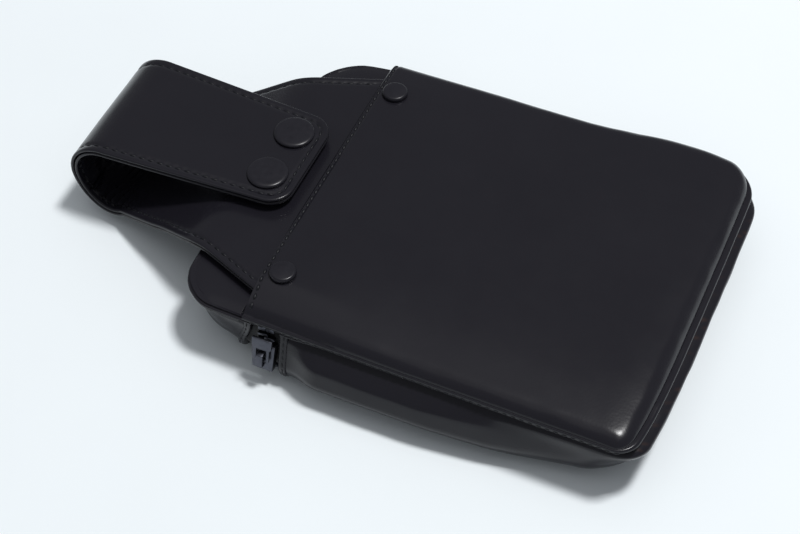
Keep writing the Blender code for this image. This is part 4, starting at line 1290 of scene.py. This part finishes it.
class CASE_OT_lid(bpy.types.Operator):
    """Leather lid above the zip, with the leather that hinges it inside"""

    bl_idname = "case.lid"
    bl_label = "Lid"

    LAP_GAP = 0.3 * MM
    EDGE_OUTSET = -0.6 * MM
    STITCH_WIDTH = 0.7 * MM
    HINGE_LEATHER = 1.1 * MM
    HINGE_EDGE = 0.3 * MM
    HINGE_STEPS = 28
    HINGE_COLUMNS = 20

    def execute(self, context):
        s = sizes()
        mesh = grid_bmesh(cover_rows(HEAD_X, lid_rise, lambda outward: s.side_lip, lid_shape))
        cut_across(mesh, LAP_X - self.LAP_GAP, -1, True)
        cover = leather_skin("lid_cover", mesh, s.leather)
        carry(cover, "lid", "leather", "lid_back_panel")
        names = ("lid_side_wall", "lid_front_cover")
        nodes = ("lid_gusset", "lid_front_panel")
        add_wall_and_front(names, LID_WALL_TOP, ZIP_LEFT, -1, "lid", nodes)

        seam = []
        for place, outward in plan_ring(self.EDGE_OUTSET, back_corners(0), HEAD_X):
            if place.x < LAP_X - SEAM_END:
                spot = place + (EDGE_Z - s.leather - STITCH_DROP) * UP
                seam.append((spot + corner_slump(spot), outward))
        stations = even_stations(from_gap(seam), EDGE_PITCH)
        sew("lid_edge_stitches", stations, EDGE_PITCH, "lid", self.STITCH_WIDTH)
        self.hinge()
        return {"FINISHED"}

    def hinge(self):
        """The strip of leather inside the lap that the lid turns on."""
        half = HALF_WIDTH - 5 * MM
        first = Vector((SEAM_X + 8 * MM, MIDDLE_Y, EDGE_Z - 0.2 * MM))
        last = Vector((LAP_X - 9 * MM, MIDDLE_Y, EDGE_Z - 2.0 * MM))
        columns = self.HINGE_COLUMNS
        rows = []
        for step in range(self.HINGE_STEPS + 1):
            middle = first.lerp(last, step / self.HINGE_STEPS)
            spots = [half * across / columns for across in range(-columns, columns + 1)]
            rows.append([middle + Vector((0, spot, 0)) for spot in spots])
        mesh = grid_bmesh(rows, wrap=False)
        strip = leather_skin("lid_hinge", mesh, self.HINGE_LEATHER, self.HINGE_EDGE)
        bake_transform(strip)


class CASE_OT_linings(bpy.types.Operator):
    """Padded cloth linings of the case and the lid"""

    bl_idname = "case.linings"
    bl_label = "Linings"

    PADDING = 3.8 * MM
    EDGE = 0.8 * MM

    def execute(self, context):
        lid_top = LID_LINING_TOP - self.PADDING - 0.3 * MM
        for name, top, mouth, side, body, nodes in (
            ("room_lining", LINING_TOP - 0.7 * MM, MOUTH_X, 1, "pouch", ("body_lining", "body_padding")),
            ("lid_room_lining", lid_top, LID_MOUTH_X, -1, "lid", ("lid_lining", "lid_padding")),
        ):
            mesh = slack_mesh(lining_rows(top), mouth, side)
            piece = thick_skin(name, mesh, nylon_lining(), self.PADDING, 1, self.EDGE, 3)
            carry(piece, body, "lining", *nodes)
        return {"FINISHED"}


class CASE_OT_strap(bpy.types.Operator):
    """Two-layer leather belt loop, bent round and closed over itself"""

    bl_idname = "case.strap"
    bl_label = "Belt loop"

    # Each part, the nodes it stands for, its two bodies and the shares of the bend where it turns
    PARTS = (
        ("root", ("root",), ("loop", "bend_lower"), (0.03, 0.305)),
        ("bend", ("bend_lower", "bend_upper"), ("bend_lower", "bend_upper"), (0.36, 0.64)),
        ("flap", ("flap",), ("bend_upper", "flap"), (0.695, 0.97)),
    )
    STITCH_SINK = 0.4 * MM

    def execute(self, context):
        s = sizes()
        path = StrapPath()
        cuts = [0.0, path.bend_run(1 / 3), path.bend_run(2 / 3), path.end]
        row = strap_stitch_path(path)
        for layer, side in (("outer", -1), ("lining", 1)):
            stitches = self.stitch_stations(path, row, side)
            for (label, parts, bodies, span), first, last in zip(self.PARTS, cuts, cuts[1:]):
                name = f"loop_{label}_{layer}"
                mesh = strap_layer(path, first, last, side)
                piece = add_piece(name, mesh, smooth_black_leather(), 60)
                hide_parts(*[f"strap_{part}_{layer}" for part in parts])
                here = [station for run, station in stitches if first <= run < last]
                thread = sew(name + "_stitches", here, s.strap_stitch_pitch, None, s.thread)
                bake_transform(piece)
                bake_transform(thread)
        return {"FINISHED"}

    def stitch_stations(self, path, row, side):
        """Stitches on one face of the strap, with the length at which each one lies."""
        pitch = sizes().strap_stitch_pitch
        lift = side * (path.thick / 2 - self.STITCH_SINK)
        stations = []
        along = pitch / 2
        for (run, across), (next_run, next_across) in zip(row, row[1:]):
            leg = math.hypot(next_run - run, next_across - across)
            way = path.place(next_run, next_across, lift) - path.place(run, across, lift)
            while along <= leg:
                share = along / leg
                here = run + (next_run - run) * share
                place = path.place(here, across + (next_across - across) * share, lift)
                stations.append((here, (place, way.normalized(), side * path.station(here)[1])))
                along += pitch
            along -= leg
        return stations


class CASE_OT_zip(bpy.types.Operator):
    """Zip tapes, teeth and stops, with the sewn leather welts beside them"""

    bl_idname = "case.zip"
    bl_label = "Zip"

    # Steps down a wall, round to the front and across half of it
    WALL = 10
    ROUND = 14
    FLAT = 24
    # Outlines in millimetres: a tooth's plan and its levels with their scale, and a welt's section
    TOOTH = ((-0.7, -0.32), (-0.4, -0.58), (0.2, -0.58), (0.7, -0.45), (3.0, -0.5))
    TOOTH_LEVELS = ((0.0, 0.92), (0.25, 1.0), (1.35, 1.0), (1.8, 0.72))
    WELT = (
        (0.0, 0.9), (0.0, -0.2), (0.15, -0.5), (0.5, -0.68), (1.3, -0.62), (1.7, -0.5), (2.1, -0.6),
        (2.6, -0.5), (2.9, -0.15), (3.0, 0.4),
    )
    STOPS = (("top_stop_lower", "pouch"), ("bottom_stop", "pouch"), ("top_stop_upper", "lid"))
    CHAIN_DEPTH = 1.8 * MM
    CHAIN_GAP = 0.15 * MM
    CHAIN_ENDS = 3
    TAPE_TOP = CHAIN_DEPTH + 0.3 * MM
    TAPE_FLOOR = TAPE_TOP + 0.8 * MM
    TAPE_HIDDEN = 2.2 * MM
    WELT_STITCH = (1.7 * MM, -0.58 * MM, 0.65 * MM)

    @classmethod
    def section(cls, x, depth, lowest=FLOOR_Z):
        """Places and outward normals round the zip at x: down the near side, across and up the far side."""
        half = []
        for step in range(cls.WALL + cls.ROUND + 1):
            share = step / cls.WALL if step < cls.WALL else 1 + (step - cls.WALL) / cls.ROUND
            outset, height, radii, lean = wall_section(share, depth)
            radius = radii[-1]
            short = max(HEAD_X - outset + radius - x, 0)
            reach = HALF_WIDTH + outset - radius + math.sqrt(radius**2 - short**2)
            half.append((reach, max(min(height, ZIP_TOP), lowest), lean))
        reach, height, lean = half[-1]
        half += [(reach * (1 - i / cls.FLAT), height, lean) for i in range(1, cls.FLAT + 1)]
        near, far = (
            [
                (Vector((x, MIDDLE_Y + side * y, z)), Vector((0, side * math.cos(a), -math.sin(a))))
                for y, z, a in half
            ]
            for side in (-1, 1)
        )
        return [(slack(place), face) for place, face in near + far[-2::-1]]

    @classmethod
    def band(cls, name, profile, finish):
        """A strip that follows the zip, with a cross-section of (x, depth) points."""
        sections = [[place for place, _ in cls.section(x, depth)] for x, depth in profile]
        mesh = grid_bmesh(list(zip(*sections)), caps=True)
        bmesh.ops.recalc_face_normals(mesh, faces=mesh.faces)
        return add_piece(name, mesh, finish)

    @classmethod
    def tooth(cls):
        """One tooth: a rounded bar that grips the tape's edge, with a head that reaches over the middle."""
        ring = [(x * MM, y * MM) for x, y in cls.TOOTH]
        ring += [(x, -y) for x, y in reversed(ring)]
        rows = []
        for height, scale in cls.TOOTH_LEVELS:
            rows.append([Vector((x, y * scale, height * MM)) for x, y in ring])
        mesh = grid_bmesh(rows, caps=True)
        bmesh.ops.recalc_face_normals(mesh, faces=mesh.faces)
        return mesh

    def execute(self, context):
        s = sizes()
        tooth = self.tooth()
        for label, side, body, window in (("lower", 1, "pouch", ZIP_RIGHT), ("upper", -1, "lid", ZIP_LEFT)):
            inner = ZIP_X + side * self.CHAIN_GAP
            outer = window + side * self.TAPE_HIDDEN
            top, floor = self.TAPE_TOP, self.TAPE_FLOOR
            profile = ((inner, top), (outer, top), (outer, floor), (inner, floor))
            tape = self.band("zip_band_" + label, profile, woven_zip_tape())
            carry(tape, body, "zip_tape", "zip_tape_" + label)

            profile = [(window + side * x * MM, depth * MM) for x, depth in self.WELT]
            welt = self.band("zip_welt_" + label, profile, smooth_black_leather())
            carry(welt, body, "leather")
            inset, depth, width = self.WELT_STITCH
            path = self.section(window + side * inset, depth, FLOOR_Z + 0.4 * MM)
            stations = even_stations(path, EDGE_PITCH)
            sew("zip_welt_stitches_" + label, stations, EDGE_PITCH, body, width)

            stations = even_stations(self.section(inner, self.CHAIN_DEPTH), s.tooth_pitch / 2)
            first = self.CHAIN_ENDS + (1 if side > 0 else 0)
            picked = stations[first:-self.CHAIN_ENDS:2]
            turned_in = [(place, Vector((side, 0, 0)), face) for place, _, face in picked]
            teeth = repeat("zip_row_" + label, turned_in, tooth, blackened_zinc())
            carry(teeth, body, "zip_teeth", "zip_teeth_" + label)
        tooth.free()
        for node, body in self.STOPS:
            soften(node + "_metal", "zip_" + node, blackened_zinc(), 0.3 * MM, body, "zip_metal")
        return {"FINISHED"}


class CASE_OT_slider(bpy.types.Operator):
    """Zip slider, its bridge and its pull"""

    bl_idname = "case.slider"
    bl_label = "Slider and pull"

    def execute(self, context):
        for node, body, width in (
            ("zip_slider", "slider", 0.3 * MM),
            ("zip_slider_bridge", "slider", 0.3 * MM),
            ("zip_pull", "pull", 0.28 * MM),
        ):
            soften(node + "_metal", node, blackened_zinc(), width, body, "zip_metal")
        return {"FINISHED"}


class CASE_OT_fasteners(bpy.types.Operator):
    """Snap fasteners and rivets"""

    bl_idname = "case.fasteners"
    bl_label = "Snaps and rivets"

    # Caps with the body, seat height and shank radius of each, and plain parts with their bodies
    CAPS = (
        ("snap_cap", "flap", FLAP_TOP + 0.05 * MM, 1.9 * MM),
        ("rivet_cap", "pouch", PANEL_TOP, 1.3 * MM),
    )
    PLAIN = (("snap_socket", "flap"), ("snap_stud", "loop"), ("snap_post", "loop"), ("rivet_base", "pouch"))
    RIM = 0.55 * MM
    SHOULDER = 0.22
    SHOULDER_STEPS = 8

    @staticmethod
    def turned(profile):
        """A profile of (radius, height) spun round its axis."""
        mesh = bmesh.new()
        points = [mesh.verts.new((radius, 0, height)) for radius, height in profile]
        edges = [mesh.edges.new(pair) for pair in zip(points, points[1:])]
        about = {"cent": (0, 0, 0), "axis": UP, "angle": math.tau, "steps": TURNED_STEPS}
        bmesh.ops.spin(mesh, geom=points + edges, **about)
        bmesh.ops.remove_doubles(mesh, verts=mesh.verts, dist=WELD_GAP)
        bmesh.ops.recalc_face_normals(mesh, faces=mesh.faces)
        return mesh

    def cap_profile(self, radius, rise):
        """A pressed cap: a nearly flat crown, a round shoulder and a rolled rim that turns under."""
        profile = [(0, rise), (0.3 * radius, 0.995 * rise), (0.6 * radius, 0.975 * rise)]
        shoulder = self.SHOULDER * radius
        for step in range(self.SHOULDER_STEPS + 1):
            angle = math.pi / 2 * step / self.SHOULDER_STEPS
            across = radius - shoulder + shoulder * math.sin(angle)
            profile.append((across, self.RIM + (0.93 * rise - self.RIM) * math.cos(angle) ** 0.8))
        return profile + [(0.985 * radius, 0.3 * self.RIM), (0.93 * radius, 0), (0.5 * radius, 0)]

    def execute(self, context):
        for kind, body, seat, shank in self.CAPS:
            nodes = [kind + "_near", kind + "_far"]
            foot = low(nodes[0]).z
            radius = (high(nodes[0]).x - low(nodes[0]).x) / 2
            profile = self.cap_profile(radius, high(nodes[0]).z - seat)
            lifted = [(across, height + seat - foot) for across, height in profile]
            mesh = self.turned(lifted + [(shank, seat - foot), (shank, 0), (0, 0)])
            stations = []
            for node in nodes:
                centre = (low(node) + high(node)) / 2
                stations.append((Vector((centre.x, centre.y, low(node).z)), Vector((1, 0, 0)), UP))
            caps = repeat(kind + "s.001", stations, mesh, black_lacquered_brass())
            mesh.free()
            caps.data.set_sharp_from_angle(angle=math.radians(45))
            carry(caps, body, "snap_metal", *nodes)
        for kind, body in self.PLAIN:
            for node in (kind + "_near", kind + "_far"):
                soften(node + "_metal", node, black_lacquered_brass(), 0.15 * MM, body, "snap_metal")
        return {"FINISHED"}


class CASE_OT_stage(bpy.types.Operator):
    """Pale floor, a small key lamp with a weak soft box, and the camera"""

    bl_idname = "case.stage"
    bl_label = "Stage"

    # Place, width and power of each lamp; all of them aim at the middle of the floor
    LAMPS = (("key", (0.56, 0.32, 2.2), 0.36, 37.5), ("soft box", (0, 0, 1.3), 1.2, 1.6))
    ROOM_LIGHT = 0.29
    ROOM_COLOUR = "f6faff"
    FLOOR_SIZE = 3.0
    AZIMUTH = math.radians(23.93)
    ELEVATION = math.radians(50.56)
    DISTANCE = 0.65524
    TARGET = Vector((11.19, -17.32, 20.0)) * MM
    LENS = 83.25
    SENSOR = 36

    def execute(self, context):
        self.floor()
        self.world()
        for name, place, size, power in self.LAMPS:
            lamp = bpy.data.lights.new(name, "AREA")
            lamp.size = size
            lamp.energy = power
            holder = link(name, lamp)
            holder.location = place
            holder.rotation_euler = Vector(place).to_track_quat("Z", "Y").to_euler()
        self.camera()
        return {"FINISHED"}

    def floor(self):
        """Matt studio paper: even and pale, so that it only takes the shadow."""
        base = colours().floor
        inputs = {"Roughness": 0.9, "Specular IOR Level": 0.1}
        paper = mottled("matt studio paper", inputs, 60, 3.0, scaled(base, 0.97), scaled(base, 1))
        mesh = bmesh.new()
        bmesh.ops.create_grid(mesh, x_segments=4, y_segments=4, size=self.FLOOR_SIZE)
        bmesh.ops.translate(mesh, verts=mesh.verts, vec=(0, 0, FLOOR_Z - 0.1 * MM))
        add_piece("floor", mesh, paper)

    def world(self):
        """A dim, even room."""
        world = bpy.data.worlds.new("dim room")
        world.use_nodes = True
        shader = world.node_tree.nodes["Background"]
        shader.inputs["Strength"].default_value = self.ROOM_LIGHT
        shader.inputs["Color"].default_value = (*hex_colour(self.ROOM_COLOUR), 1)
        bpy.context.scene.world = world

    def camera(self):
        flat = math.cos(self.ELEVATION)
        across = math.sin(self.AZIMUTH) * flat
        back = Vector((across, -math.cos(self.AZIMUTH) * flat, math.sin(self.ELEVATION)))
        data = bpy.data.cameras.new("photograph view")
        data.sensor_fit = "HORIZONTAL"
        data.sensor_width = self.SENSOR
        data.lens = self.LENS
        data.clip_start = 0.01
        holder = link("photograph view", data)
        holder.location = self.TARGET + self.DISTANCE * back
        holder.rotation_euler = back.to_track_quat("Z", "Y").to_euler()
        bpy.context.scene.camera = holder
        bpy.context.scene.view_settings.view_transform = "Standard"


STEPS = (
    CASE_OT_stage,
    CASE_OT_back_cover,
    CASE_OT_walls,
    CASE_OT_lid,
    CASE_OT_linings,
    CASE_OT_zip,
    CASE_OT_slider,
    CASE_OT_strap,
    CASE_OT_fasteners,
)


class CASE_PT_panel(bpy.types.Panel):
    """Lists the steps that dress the case, with its sizes and colours"""

    bl_idname = "CASE_PT_panel"
    bl_label = "Belt case"
    bl_space_type = "VIEW_3D"
    bl_region_type = "UI"
    bl_category = "Belt case"

    def draw(self, context):
        for step in STEPS:
            self.layout.operator(step.bl_idname)
        for group in (context.scene.case_sizes, context.scene.case_colours):
            box = self.layout.box()
            for name in group.__annotations__:
                box.prop(group, name)


CLASSES = (CaseSizes, CaseColours, *STEPS, CASE_PT_panel)


def register():
    for item in CLASSES:
        bpy.utils.register_class(item)
    bpy.types.Scene.case_sizes = PointerProperty(type=CaseSizes)
    bpy.types.Scene.case_colours = PointerProperty(type=CaseColours)


def unregister():
    del bpy.types.Scene.case_colours
    del bpy.types.Scene.case_sizes
    for item in reversed(CLASSES):
        bpy.utils.unregister_class(item)


def main():
    register()
    for step in STEPS:
        group, name = step.bl_idname.split(".")
        getattr(getattr(bpy.ops, group), name)()


if __name__ == "__main__":
    main()
